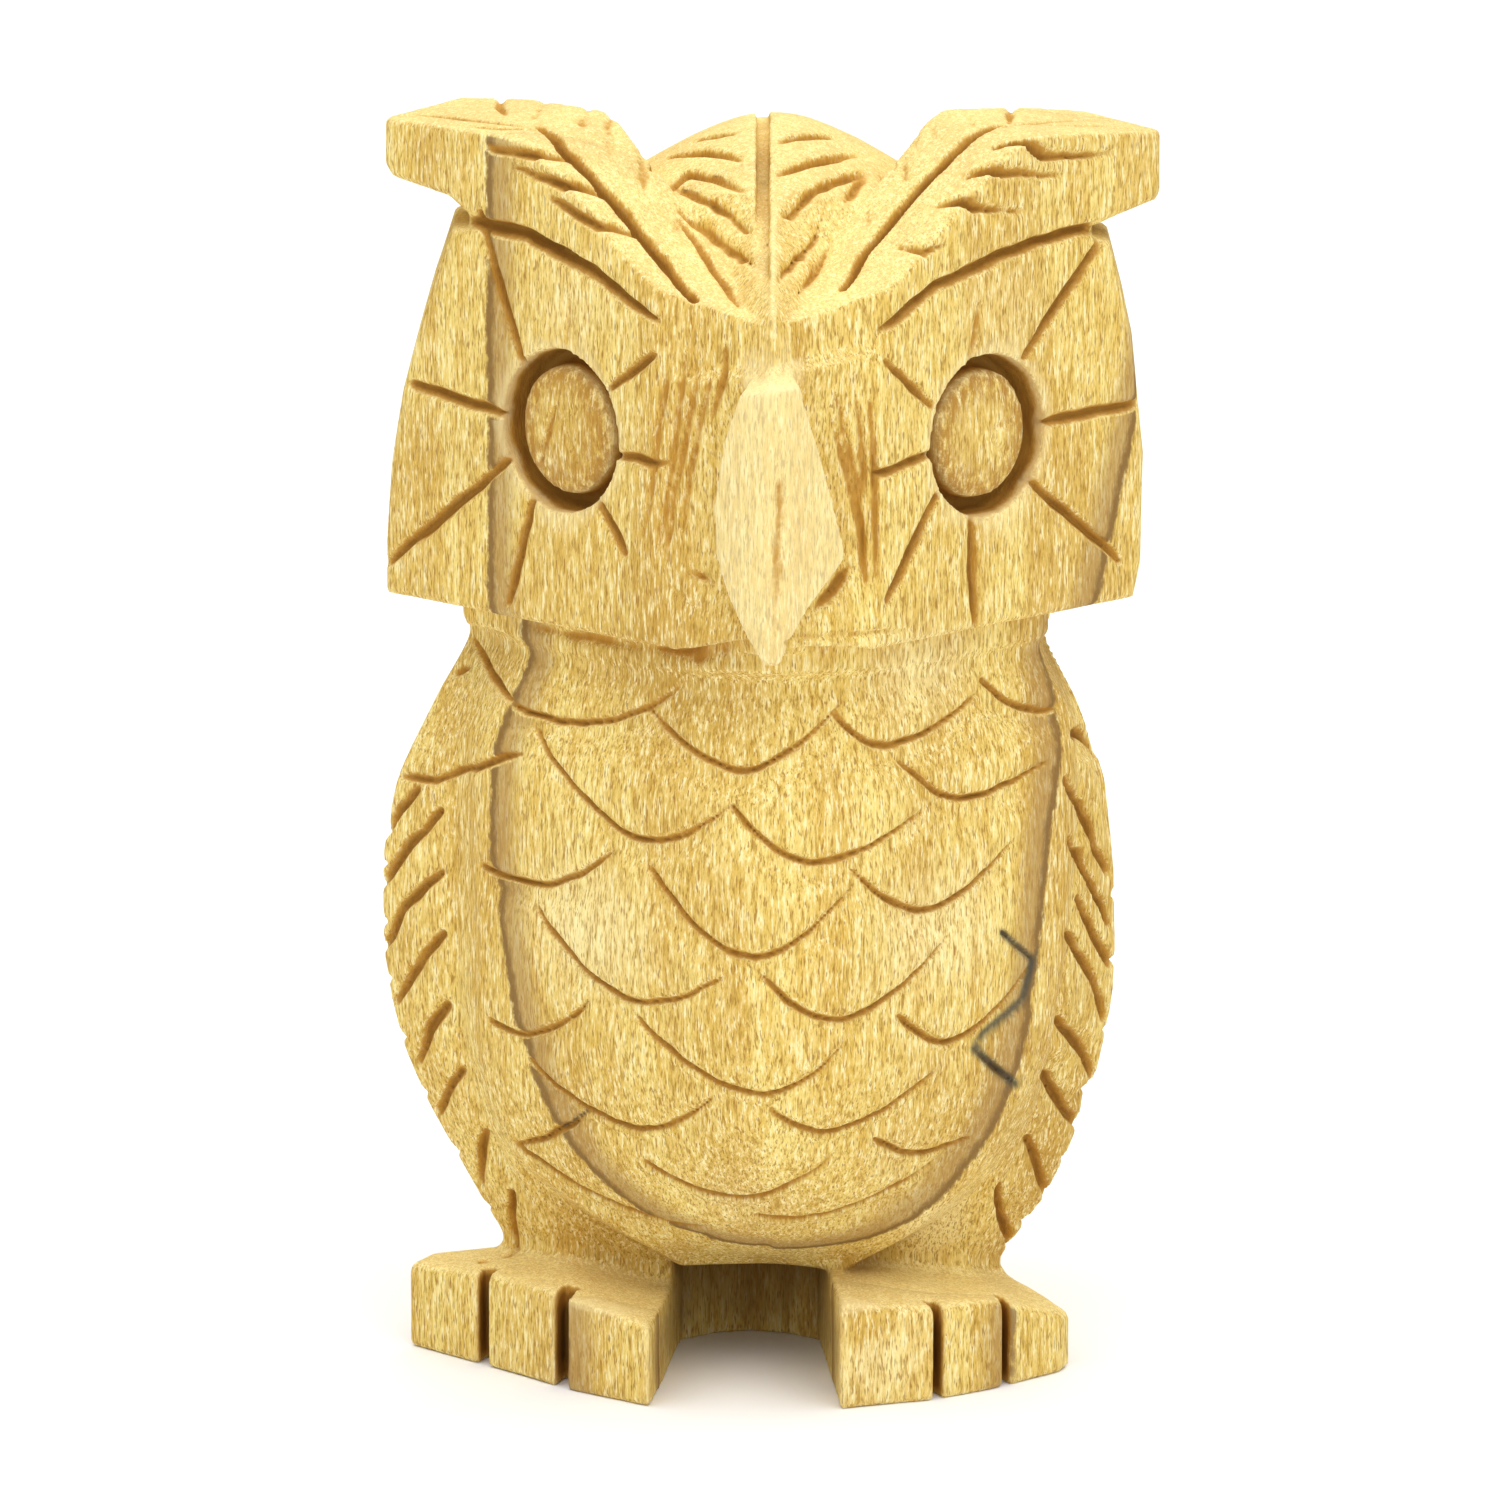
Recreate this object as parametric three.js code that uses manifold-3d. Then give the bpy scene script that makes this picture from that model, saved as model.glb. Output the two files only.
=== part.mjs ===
// Carved wooden owl, 100 mm tall, cut corner-on from one square block of light hardwood.
// Millimetres, +Z up. The owl looks along -Y, +X is on the viewer's right, and the origin is
// on the ground under the middle of the block. The beak is the block's front corner, the ear
// tufts and wing edges are its side corners, and the tail is its back corner.
import * as THREE from "three";
import { mergeVertices } from "three/addons/utils/BufferGeometryUtils.js";
import Module from "manifold-3d";

const wasm = await Module();
wasm.setup();

// Driving dimensions
const HEIGHT = 100;
const CORNER = 30.7; // centre of the block to each of its four upright corners
const HEAD_BOTTOM = 61.3;
const NECK_SETBACK = 3.3; // how far the neck stands behind the block's faces, along Y
const CHIN_SETBACK = 2.4;
const CHIN_HEIGHT = 1.8;
const EYE_RADIUS = 6.36; // outer edge of the ring groove
const EYE_RING_WIDTH = 1.1;
const EYE_RING_DEPTH = 2.8;
const EYE_SUNK = 1.1; // the eye's face lies this far below the cheek
const EYE_DOME = 0.5;
const GROOVE = 1.0; // usual width of a carved line
const GROOVE_DEPTH = 0.9;
const MIN_LIFT = 1.2; // cutters reach at least this far out of the surface
const KERF = 1.0; // width of a saw cut
const FOOT_HEIGHT = 8.8;
const BELLY_BOTTOM = 8.5;
const LEG_BOTTOM = 5;

const LEFT = -1;
const RIGHT = 1;
const BOTH = [LEFT, RIGHT];
const DIAGONAL = Math.SQRT1_2;

// Value at z on a profile of [z, value] pairs in rising order, with straight runs between them.
function along(profile, z) {
  const last = profile.length - 1;
  if (z <= profile[0][0]) return profile[0][1];
  if (z >= profile[last][0]) return profile[last][1];
  const i = profile.findIndex(([level]) => level > z);
  const [z0, v0] = profile[i - 1];
  const [z1, v1] = profile[i];
  return v0 + ((v1 - v0) * (z - z0)) / (z1 - z0);
}

// A closed three.js geometry as a solid that can be joined and cut.
function solid(geometry) {
  const bare = geometry.clone();
  bare.deleteAttribute("normal");
  bare.deleteAttribute("uv");
  const merged = mergeVertices(bare, 1e-4);
  const vertProperties = new Float32Array(merged.attributes.position.array);
  const corners = Array.from(merged.index.array);
  const triVerts = new Uint32Array(corners.length);
  let used = 0;
  for (let i = 0; i < corners.length; i += 3) {
    const [a, b, c] = corners.slice(i, i + 3);
    if (a === b || b === c || c === a) continue;
    triVerts.set([a, b, c], used);
    used += 3;
  }
  const faces = triVerts.subarray(0, used);
  const made = new wasm.Manifold(new wasm.Mesh({ numProp: 3, vertProperties, triVerts: faces }));
  if (made.volume() >= 0) return made;
  for (let i = 0; i < used; i += 3) {
    [faces[i + 1], faces[i + 2]] = [faces[i + 2], faces[i + 1]];
  }
  return new wasm.Manifold(new wasm.Mesh({ numProp: 3, vertProperties, triVerts: faces }));
}

// Skin through rings of points that all have the same number of points, capped at both ends.
function loft(rings) {
  const count = rings[0].length;
  const positions = rings.flat().flatMap((p) => [p.x, p.y, p.z]);
  const index = [];
  for (let r = 0; r + 1 < rings.length; r++) {
    for (let i = 0; i < count; i++) {
      const a = r * count + i;
      const b = r * count + ((i + 1) % count);
      index.push(a, b, b + count, a, b + count, a + count);
    }
  }
  const cap = (ring, offset, flip) => {
    const middle = positions.length / 3;
    const centre = ring.reduce((sum, p) => sum.add(p), new THREE.Vector3()).divideScalar(count);
    positions.push(centre.x, centre.y, centre.z);
    for (let i = 0; i < count; i++) {
      const a = offset + i;
      const b = offset + ((i + 1) % count);
      if (flip) index.push(middle, b, a);
      else index.push(middle, a, b);
    }
  };
  cap(rings[0], 0, true);
  cap(rings.at(-1), (rings.length - 1) * count, false);
  const geometry = new THREE.BufferGeometry();
  geometry.setAttribute("position", new THREE.Float32BufferAttribute(positions, 3));
  geometry.setIndex(index);
  return solid(geometry);
}

// Upright prism over a plan outline of [x, y] points.
function upright(outline, bottom, top) {
  const shape = new THREE.Shape(outline.map(([x, y]) => new THREE.Vector2(x, y)));
  const geometry = new THREE.ExtrudeGeometry(shape, { depth: top - bottom, bevelEnabled: false });
  geometry.translate(0, 0, bottom);
  return solid(geometry);
}

// Prism over an [x, z] outline, running from front to back.
function frontToBack(outline, front, back) {
  const shape = new THREE.Shape(outline.map(([x, z]) => new THREE.Vector2(x, z)));
  const geometry = new THREE.ExtrudeGeometry(shape, { depth: back - front, bevelEnabled: false });
  geometry.rotateX(Math.PI / 2);
  geometry.translate(0, back, 0);
  return solid(geometry);
}

// The two front faces of the block. A point on a face is given by t, the distance along it from
// the block's front corner, and its height z; lift stands it off the face.
function faceNormal(side) {
  return new THREE.Vector3(side * DIAGONAL, -DIAGONAL, 0);
}

function onFace(side, t, z, lift = 0) {
  const point = new THREE.Vector3(side * t * DIAGONAL, t * DIAGONAL - CORNER, z);
  return point.addScaledVector(faceNormal(side), lift);
}

// A carved line: a V-section swept through stations {point, normal}, with a sharp bottom.
// Its depth and width fade towards the ends by the share that taper keeps there.
function groove(stations, width = GROOVE, depth = GROOVE_DEPTH, taper = 0.35) {
  const rings = stations.map(({ point, normal }, i) => {
    const before = stations[Math.max(i - 1, 0)].point;
    const after = stations[Math.min(i + 1, stations.length - 1)].point;
    const forward = after.clone().sub(before).normalize();
    const across = forward.clone().cross(normal).normalize();
    const place = i / (stations.length - 1);
    const full = taper + (1 - taper) * Math.sin(Math.PI * place) ** 0.6;
    const down = depth * full;
    const half = (width / 2) * full;
    const lift = Math.max(depth, MIN_LIFT);
    const wide = half * (1 + lift / down);
    return [
      point.clone().addScaledVector(normal, -down),
      point.clone().addScaledVector(across, wide).addScaledVector(normal, lift),
      point.clone().addScaledVector(across, -wide).addScaledVector(normal, lift),
    ];
  });
  return loft(rings);
}

function straight(from, to, steps, place) {
  return Array.from({ length: steps + 1 }, (_, i) => {
    const share = i / steps;
    return place(from.map((value, k) => value + (to[k] - value) * share), share);
  });
}

// Head top. u1 is the distance in from the nearer front face and t1 from the other one, which
// is also the distance along the brow from the front corner.
const BROW_TOP = [
  [2, 87.2], [6.6, 87.8], [9, 88.3], [12.6, 89.6], [14.9, 91.2], [17.6, 93], [20, 94.9],
  [22.4, 96.6], [24.7, 98], [27, 99.1], [30, 99.5],
];
const BROW_WIDTH = [[2, 1.6], [6.6, 3.8], [13, 8], [17, 8.7], [24, 9], [30, 11], [38, 11], [44, 8]];
const TUFT_END_DROP = { [LEFT]: 0.1, [RIGHT]: 1.1 };
const CROWN = { height: 99.4, x: { fall: 0.7, round: 6 }, y: { fall: 0.6, round: 12, top: 1 } };
const TUFT_START = 30;
const BROW_TILT = 0.075; // the brows and tufts rise a little towards the back
const BROW_DEEP = 11; // width over which they rise
const BROW_BACK_SLOPE = 2.2;
const BROW_EDGE = { reach: 2.5, bend: 0.06, end: 26 }; // the brows' front edges are rounded over
const CREST_SLOPE = 1.2;

function crownHeight(x, y) {
  const drop = (value, { fall, round }) => fall * (Math.hypot(value, round) - round);
  return CROWN.height - drop(x, CROWN.x) - drop(y - CROWN.y.top, CROWN.y);
}

function browHeight(side, t, u = 0) {
  const end = Math.max(0, t - TUFT_START) / (CORNER / DIAGONAL - TUFT_START);
  return along(BROW_TOP, t) - TUFT_END_DROP[side] * end + BROW_TILT * Math.min(u, BROW_DEEP);
}

function topHeight(x, y) {
  const side = x < 0 ? LEFT : RIGHT;
  const t = (Math.abs(x) + y + CORNER) * DIAGONAL;
  const u = (-Math.abs(x) + y + CORNER) * DIAGONAL;
  const brow = browHeight(side, t, u);
  const inward = u - along(BROW_WIDTH, t);
  const rounded = t < BROW_EDGE.end ? BROW_EDGE.bend * Math.max(0, BROW_EDGE.reach - u) ** 2 : 0;
  if (inward < 0) return brow - rounded;
  const crest = Math.min(crownHeight(x, y), brow + CREST_SLOPE * inward);
  return Math.max(brow - BROW_BACK_SLOPE * inward, crest);
}

// Everything above the head's top surface, over a grid that runs along the block's faces.
function aboveTop() {
  const side = CORNER / DIAGONAL;
  const lines = [-1, 0, 1.6, 3.6, 5.8, 8, 9, 10.8, 13, 15.2, 17.4, 19.6, 22, 24.5, 27.5, 31, 36, side];
  lines.push(side + 1);
  const inset = (value) => Math.min(Math.max(value, 0.01), side - 0.01);
  const rows = lines.map((a) => lines.map((b) => {
    const x = (b - a) * DIAGONAL;
    const y = (a + b) * DIAGONAL - CORNER;
    const held = [inset(a), inset(b)];
    const z = topHeight((held[1] - held[0]) * DIAGONAL, (held[0] + held[1]) * DIAGONAL - CORNER);
    return new THREE.Vector3(x, y, z);
  }));
  const count = lines.length;
  const positions = [];
  const index = [];
  const lid = HEIGHT + 12;
  for (const flat of [false, true]) {
    for (const row of rows) {
      for (const p of row) positions.push(p.x, p.y, flat ? lid : p.z);
    }
  }
  const at = (i, j, flat) => (flat ? count * count : 0) + i * count + j;
  for (let i = 0; i + 1 < count; i++) {
    for (let j = 0; j + 1 < count; j++) {
      for (const flat of [false, true]) {
        const [a, b, c, d] = [at(i, j, flat), at(i, j + 1, flat), at(i + 1, j + 1, flat), at(i + 1, j, flat)];
        const faces = [a, b, c, a, c, d];
        index.push(...(flat ? faces.reverse() : faces));
      }
    }
  }
  const wall = (a, b, lidA, lidB) => index.push(b, a, lidA, b, lidA, lidB);
  for (let k = 0; k + 1 < count; k++) {
    const far = count - 1;
    wall(at(0, k), at(0, k + 1), at(0, k, true), at(0, k + 1, true));
    wall(at(far, k + 1), at(far, k), at(far, k + 1, true), at(far, k, true));
    wall(at(k + 1, 0), at(k, 0), at(k + 1, 0, true), at(k, 0, true));
    wall(at(k, far), at(k + 1, far), at(k, far, true), at(k + 1, far, true));
  }
  const geometry = new THREE.BufferGeometry();
  geometry.setAttribute("position", new THREE.Float32BufferAttribute(positions, 3));
  geometry.setIndex(index);
  return solid(geometry);
}

// Seen from the front, the head's sides lean in towards the top and the tufts stand over them.
const HEAD_SIDES = {
  [LEFT]: [
    [30.7, HEAD_BOTTOM], [30.6, 65.6], [30, 72], [29.1, 77.6], [27.8, 82.4], [26.5, 87],
    [25, 91.4], [23.9, 91.8], [23.9, 92.8], [25.3, 94], [29.8, 94.8], [30.5, 95.8], [30.5, HEIGHT + 2],
  ],
  [RIGHT]: [
    [28.5, HEAD_BOTTOM], [29.1, 64], [29.3, 72.8], [28.3, 82.4], [27.6, 85.6], [26.4, 90.2],
    [25.2, 90.6], [25.2, 91.6], [30.2, 92.9], [30.6, 93.6], [30.6, HEIGHT + 2],
  ],
};

function head() {
  const outline = [
    ...HEAD_SIDES[RIGHT],
    ...[...HEAD_SIDES[LEFT]].reverse().map(([x, z]) => [-x, z]),
  ];
  const square = [[0, -CORNER], [CORNER, 0], [0, CORNER], [-CORNER, 0]];
  const block = upright(square, HEAD_BOTTOM, HEIGHT + 3);
  return block.intersect(frontToBack(outline, -CORNER - 1, CORNER + 1)).subtract(aboveTop());
}

// The beak is the block's corner left standing between two hollows.
const BEAK_EDGE = {
  [LEFT]: [[60, 1], [62, 1.8], [71, 6], [77, 5], [84.6, 3.1], [90, 3]],
  [RIGHT]: [[60, 1.2], [61.6, 2], [71, 8.1], [77, 6.2], [84.8, 3.4], [90, 3]],
};
const HOLLOW_DEPTH = 2.5;
const HOLLOW_END = 13;

function besideBeak(side) {
  const levels = [60, 62, 66, 71, 77, 84.6, 87.6];
  const rings = levels.map((z) => {
    const edge = along(BEAK_EDGE[side], z);
    const share = Math.sin((Math.PI * (z - 52)) / 44);
    const profile = [
      [edge - 0.4, 2], [edge, -0.4], [edge + 0.7, -HOLLOW_DEPTH * share],
      [edge + 3, -HOLLOW_DEPTH * 0.8 * share], [HOLLOW_END - 0.6, -0.15], [HOLLOW_END + 0.6, 0.15],
      [HOLLOW_END + 0.6, 2],
    ];
    return profile.map(([t, lift]) => onFace(side, t, z, lift));
  });
  return loft(rings);
}

// The lower edge of the face arches up beside the beak: [distance along the face, height]
const FACE_ARCH = [[2.2, 59], [2.6, 62.6], [4.4, 63.7], [6.6, 63.5], [9, 62.4], [11.6, 61], [11.6, 59]];

function faceArch(side) {
  const lifts = [2, -CHIN_SETBACK * DIAGONAL - 1];
  return loft(lifts.map((lift) => FACE_ARCH.map(([t, z]) => onFace(side, t, z, lift))));
}

// Between the crest and the beak the corner is broken away in a shallow hollow.
const BROKEN_CORNER = [[4, 91], [3.6, 87.6], [3.3, 86], [2.2, 84.8], [-2, 84], [-2, 91]];
const BROKEN_CORNER_HALF_WIDTH = 9;

function brokenCornerAboveBeak() {
  const half = BROKEN_CORNER_HALF_WIDTH;
  const rings = [-half, -half / 2, 0, half / 2, half].map((x) => {
    const share = 1 - (Math.abs(x) / half) ** 2;
    return BROKEN_CORNER.map(([depth, z]) => {
      const inward = depth > 0 ? depth * share - (1 - share) * 0.6 : depth;
      return new THREE.Vector3(x, Math.abs(x) - CORNER + inward, z);
    });
  });
  return loft(rings);
}

// Eyes
const EYES = { [LEFT]: { t: 23.4, z: 77 }, [RIGHT]: { t: 23.7, z: 76.6 } };

function eyeCut(side) {
  const { t, z } = EYES[side];
  const inner = EYE_RADIUS - EYE_RING_WIDTH;
  const profile = [
    [0, -EYE_SUNK + EYE_DOME], [inner * 0.6, -EYE_SUNK + EYE_DOME * 0.7],
    [inner, -EYE_SUNK], [inner + 0.15, -EYE_RING_DEPTH], [EYE_RADIUS - 0.25, -EYE_RING_DEPTH],
    [EYE_RADIUS, 2], [0, 2],
  ].map(([r, depth]) => new THREE.Vector2(r, depth));
  const geometry = new THREE.LatheGeometry(profile.reverse(), 24);
  const normal = faceNormal(side);
  const turn = new THREE.Quaternion().setFromUnitVectors(new THREE.Vector3(0, 1, 0), normal);
  geometry.applyQuaternion(turn);
  const { x, y } = onFace(side, t, z);
  geometry.translate(x, y, z);
  return solid(geometry);
}

// Lines that run out from each eye: [angle at the eye, angle at the end, start, end] in degrees,
// 0 pointing away from the beak, and millimetres from the eye's centre.
const EYE_RAYS = {
  [LEFT]: [
    [47.6, 60.6, 6.3, 18.2], [5, 5, 6.3, 16.6], [-28, -34, 6.7, 23.2], [-63, -68, 6.9, 15.4],
    [-130, -130, 7.1, 11.3], [-170, -175, 6.4, 12.4], [143, 144.5, 7.1, 12.6], [95, 96, 6.7, 10.5],
  ],
  [RIGHT]: [
    [54.6, 47.4, 7.3, 18.9], [2.7, 0.5, 6.5, 17.1], [-41.6, -38.6, 6.6, 19.1],
    [-106.5, -95, 7, 14.6], [-145.7, -133.9, 7.3, 15.9], [-175, -173, 6.9, 12.7],
    [153, 147, 7.2, 13.5], [108, 94.6, 6.5, 10.5],
  ],
};
const FAINT_RAYS = 2; // the last two of each list are barely scratched

function eyeRays(side) {
  const normal = faceNormal(side);
  const { t, z } = EYES[side];
  return EYE_RAYS[side].map(([angle0, angle1, start, end], i) => {
    const faint = i >= EYE_RAYS[side].length - FAINT_RAYS;
    const place = (angle, radius) => {
      const a = THREE.MathUtils.degToRad(angle);
      return [t + radius * Math.cos(a), z + radius * Math.sin(a)];
    };
    const line = straight(place(angle0, start - 0.3), place(angle1, end), 1, ([far, high]) => {
      return { point: onFace(side, far, high), normal };
    });
    return groove(line, GROOVE, faint ? GROOVE_DEPTH / 2 : GROOVE_DEPTH, 1);
  });
}

// Groove under each brow, as [t, z] along the face.
const BROW_LINE = {
  [LEFT]: [[36, 92.2], [29, 92.1], [24.1, 91.2], [19.8, 90.05], [16.6, 88.6], [12.8, 87]],
  [RIGHT]: [[37.4, 90.9], [33.5, 91.6], [28.9, 91.2], [24.2, 90.4], [17.9, 89], [13.6, 87.1], [9.3, 84.7]],
};

function browLine(side) {
  const normal = faceNormal(side);
  const stations = BROW_LINE[side].map(([t, z]) => ({ point: onFace(side, t, z), normal }));
  return groove(stations, 1.4, 1.5, 0.75);
}

// A line carved into the head's top, between two [t, u] places beside one front face.
function topPoint(side, t, u) {
  const x = (side * (t - u)) * DIAGONAL;
  const y = (t + u) * DIAGONAL - CORNER;
  return new THREE.Vector3(x, y, topHeight(x, y));
}

function topNormal(side, t, u) {
  const step = 0.6;
  const alongT = topPoint(side, t + step, u).sub(topPoint(side, t - step, u));
  const alongU = topPoint(side, t, u + step).sub(topPoint(side, t, u - step));
  const normal = alongT.cross(alongU).normalize();
  return normal.z < 0 ? normal.negate() : normal;
}

function topLine(side, from, to, width, depth, steps = 2) {
  const stations = straight(from, to, steps, ([t, u]) => ({
    point: topPoint(side, t, u),
    normal: topNormal(side, t, u),
  }));
  return groove(stations, width, depth, 0.4);
}

// The quill of each brow, and the barbs on its inner side
const QUILL = {
  [LEFT]: [[30.9, 5.2], [27.1, 3.8], [22.3, 3.3], [17.6, 3.1], [12.4, 2.5], [8.4, 1.1]],
  [RIGHT]: [[33, 5.9], [28.9, 4], [23.1, 3.6], [16.8, 3.3], [9.5, 1.7]],
};
const INNER_BARBS = {
  [LEFT]: [[29.7, 8.3, 27, 6.2], [26.6, 9, 23.8, 6.2], [22.2, 8.3, 19.6, 5.4], [18.5, 8.1, 15.8, 5.7]],
  [RIGHT]: [[31.1, 9.2, 28.3, 6.2], [26.8, 9, 24.4, 7], [23.4, 8.8, 20.8, 6.4], [18.6, 8.2, 16, 5.8]],
};
const TUFT_BARBS = {
  [LEFT]: [[40.5, 1.8, 30.6, 2.9], [40, 4, 31.9, 4.7], [37, 8.6, 32.3, 6]],
  [RIGHT]: [[41.4, 1.5, 30.4, 3], [40, 4, 33.4, 4.6], [37, 8.6, 34, 6.4]],
};

function brow(side) {
  const quill = QUILL[side].map(([t, u]) => ({ point: topPoint(side, t, u), normal: topNormal(side, t, u) }));
  const inner = INNER_BARBS[side].map(([t0, u0, t1, u1]) => topLine(side, [t0, u0], [t1, u1], 1.1, 1.1));
  const tuft = TUFT_BARBS[side].map(([t0, u0, t1, u1]) => topLine(side, [t0, u0], [t1, u1], 0.9, 0.8));
  return [groove(quill, 1.2, 1.3, 0.5), ...inner, ...tuft];
}

// Barbs on the outer side of each quill, from the brow's face over its rounded edge on to the top:
// [t, z] on the face, then [t, u] on the top
const OUTER_BARBS = {
  [LEFT]: [[31.4, 98.3, 24.2, 2.3], [28.5, 97.2, 20.7, 2.2], [24.4, 95.1, 17, 2.4]],
  [RIGHT]: [[37.6, 97.1, 26, 1.9], [31.7, 96.2, 22.6, 1.8], [27.4, 93.9, 19.8, 2], [18.8, 92.3, 15.9, 2.2]],
};

function outerBarbs(side) {
  const outward = faceNormal(side);
  const slanting = outward.clone().add(new THREE.Vector3(0, 0, 1)).normalize();
  return OUTER_BARBS[side].map(([t0, z0, t1, u1]) => {
    const edge = t1 + (t0 - t1) * 0.3;
    const over = Math.min(z0 + 0.8, browHeight(side, edge) - 0.5);
    return groove([
      { point: onFace(side, t0, z0), normal: outward },
      { point: onFace(side, edge, over, -0.2), normal: slanting },
      { point: topPoint(side, t1, u1), normal: topNormal(side, t1, u1) },
    ], 1.2, 1.2, 0.5);
  });
}

// Barbs of the crest feather: [x, y] beside the middle cut, then [x, y] of the outer end
const CREST_BARBS = {
  [LEFT]: [
    [3, -5.4, 5.6, -3.2], [2.2, -9.6, 8.8, -3.9], [2, -12, 9.4, -5.7], [2, -14.6, 7.7, -9.4],
    [1.6, -18.8, 7, -11], [2, -22.8, 5.5, -14],
  ],
  [RIGHT]: [
    [0.8, -7.2, 5.6, -4.2], [0.9, -11.3, 7.1, -6.7], [1.2, -14.4, 7.3, -9.3], [0.5, -22.9, 4.5, -12.9],
    [2.9, -20.8, 4.8, -15.8],
  ],
};
const BACK_BARBS = [[1.5, 10, 8, 5], [1.5, 15.5, 8, 10.5], [1.5, 21, 7, 16.5]];

function crestBarbs(side) {
  const place = ([x, y]) => {
    const t = (x + y + CORNER) * DIAGONAL;
    const u = (-x + y + CORNER) * DIAGONAL;
    return { point: topPoint(side, t, u), normal: topNormal(side, t, u) };
  };
  const cut = (steps) => ([x0, y0, x1, y1]) => {
    return groove(straight([x0, y0], [x1, y1], steps, place), 1.2, 1.1, 0.5);
  };
  return [...CREST_BARBS[side].map(cut(2)), ...BACK_BARBS.map(cut(1))];
}

// Body. The breast stands on the block's faces with a rounded front corner; the core behind it
// carries the wings, the legs and the back.
const BREAST_FRONT = [
  [8.6, -6], [10, -11], [12, -14.6], [14, -17], [17, -19.4], [20, -21.1], [24, -22.7], [28, -23.7],
  [33, -24.3], [38, -24.5], [44, -24.2], [50, -23.6], [55, -22.6], [58, -21.8],
];
const BREAST_SIDE = {
  [LEFT]: [
    [8.6, 6.5], [10, 9.8], [12, 12.6], [14, 16], [17, 20], [20, 21.5], [24, 22.6], [28, 23.2],
    [38, 23.4], [50, 22.8], [55, 20.8], [58, 19.5],
  ],
  [RIGHT]: [
    [8.6, 4.6], [10, 8.5], [12, 11.5], [14, 13.5], [17, 16.4], [20, 18.4], [24, 20.4], [28, 21.8],
    [38, 23.1], [50, 23.1], [55, 22.3], [58, 20.6],
  ],
};
const BREAST_CORNER = [
  [8.6, 14], [10, 19], [12, 22.5], [14, 24.8], [17, 27.2], [20, 28.9], [24, 30.2], [28, CORNER],
  [50, CORNER], [55, CORNER - 1.7], [58, CORNER - NECK_SETBACK],
];
const BREAST_ROUNDING = 0.55;
const BREAST_TOP = HEAD_BOTTOM + 0.6;

function breastDepth(x, z) {
  const side = x < 0 ? LEFT : RIGHT;
  const width = along(BREAST_SIDE[side], z);
  const edge = -(along(BREAST_CORNER, z) - width);
  const front = along(BREAST_FRONT, z);
  const share = Math.min(Math.abs(x) / width, 1);
  const k = BREAST_ROUNDING;
  const bend = (Math.hypot(share, k) - k) / (Math.hypot(1, k) - k);
  return front + (edge - front) * bend;
}

function breast() {
  const levels = [8.6, 9.2, 10.4, 12.4, 15, 18.5, 23, 29, 37, 45, 51.5, 55, 58, BREAST_TOP];
  const steps = 14;
  const rings = levels.map((z) => {
    const ring = [];
    for (let i = 0; i <= steps; i++) {
      const share = -1 + (2 * i) / steps;
      const width = along(BREAST_SIDE[share < 0 ? LEFT : RIGHT], z);
      const x = width * share;
      ring.push(new THREE.Vector3(x, breastDepth(x, z), z));
    }
    const rear = Math.min(4, ring[0].y + 8);
    ring.push(new THREE.Vector3(ring.at(-1).x * 0.8, rear, z));
    ring.push(new THREE.Vector3(ring[0].x * 0.8, rear, z));
    return ring;
  });
  return loft(rings);
}

const WING_EDGE = {
  [LEFT]: [
    [5, 18.6], [8.5, 21], [11.8, 23], [15.9, 25.1], [20, 27.3], [24.1, 29], [28.2, 30], [32.3, 30.6],
    [40, 30.6], [46.2, 29.4], [53.5, 26], [57.5, 23.7], [60, 23.2],
  ],
  [RIGHT]: [
    [5, 16.6], [8.5, 19.2], [11.8, 21.6], [15.9, 23.5], [21.7, 25.5], [28.2, 26.8], [32.3, 27.1], [38.8, 26.9],
    [46.2, 26.1], [52.7, 23.8], [57.5, 21.3], [60, 20.8],
  ],
};
const WING_INNER = {
  [LEFT]: [[5, 15.6], [8.5, 17.4], [15.5, 20.4], [20, 22.4], [27, 24.2], [45, 24.3], [52, 22.6], [58, 20.4]],
  [RIGHT]: [[5, 14], [8.5, 15.6], [14.7, 18.1], [22.6, 21], [32.5, 22.8], [45, 23.7], [54, 22.9], [58, 21]],
};
const WING_INNER_DEPTH = [
  [5, -2.2], [8.5, -3], [15.5, -4.4], [20, -5], [28, -5.4], [48, -5.3], [54, -4.4], [58, -3.4],
];
const LEG_FRONT = [[5, -3.4], [8.5, -5.2], [12, -8], [16, -11], [20, -14], [30, -18], [60, -18]];
const WING_EDGE_DEPTH = 1;
const BACK = [[5, 19.6], [8.5, 22], [14, 24], [22, 26], [34, 27.2], [44, 26.4], [52, 24.4], [58, 22]];
const BACK_ROUNDING = 0.3;

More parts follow.
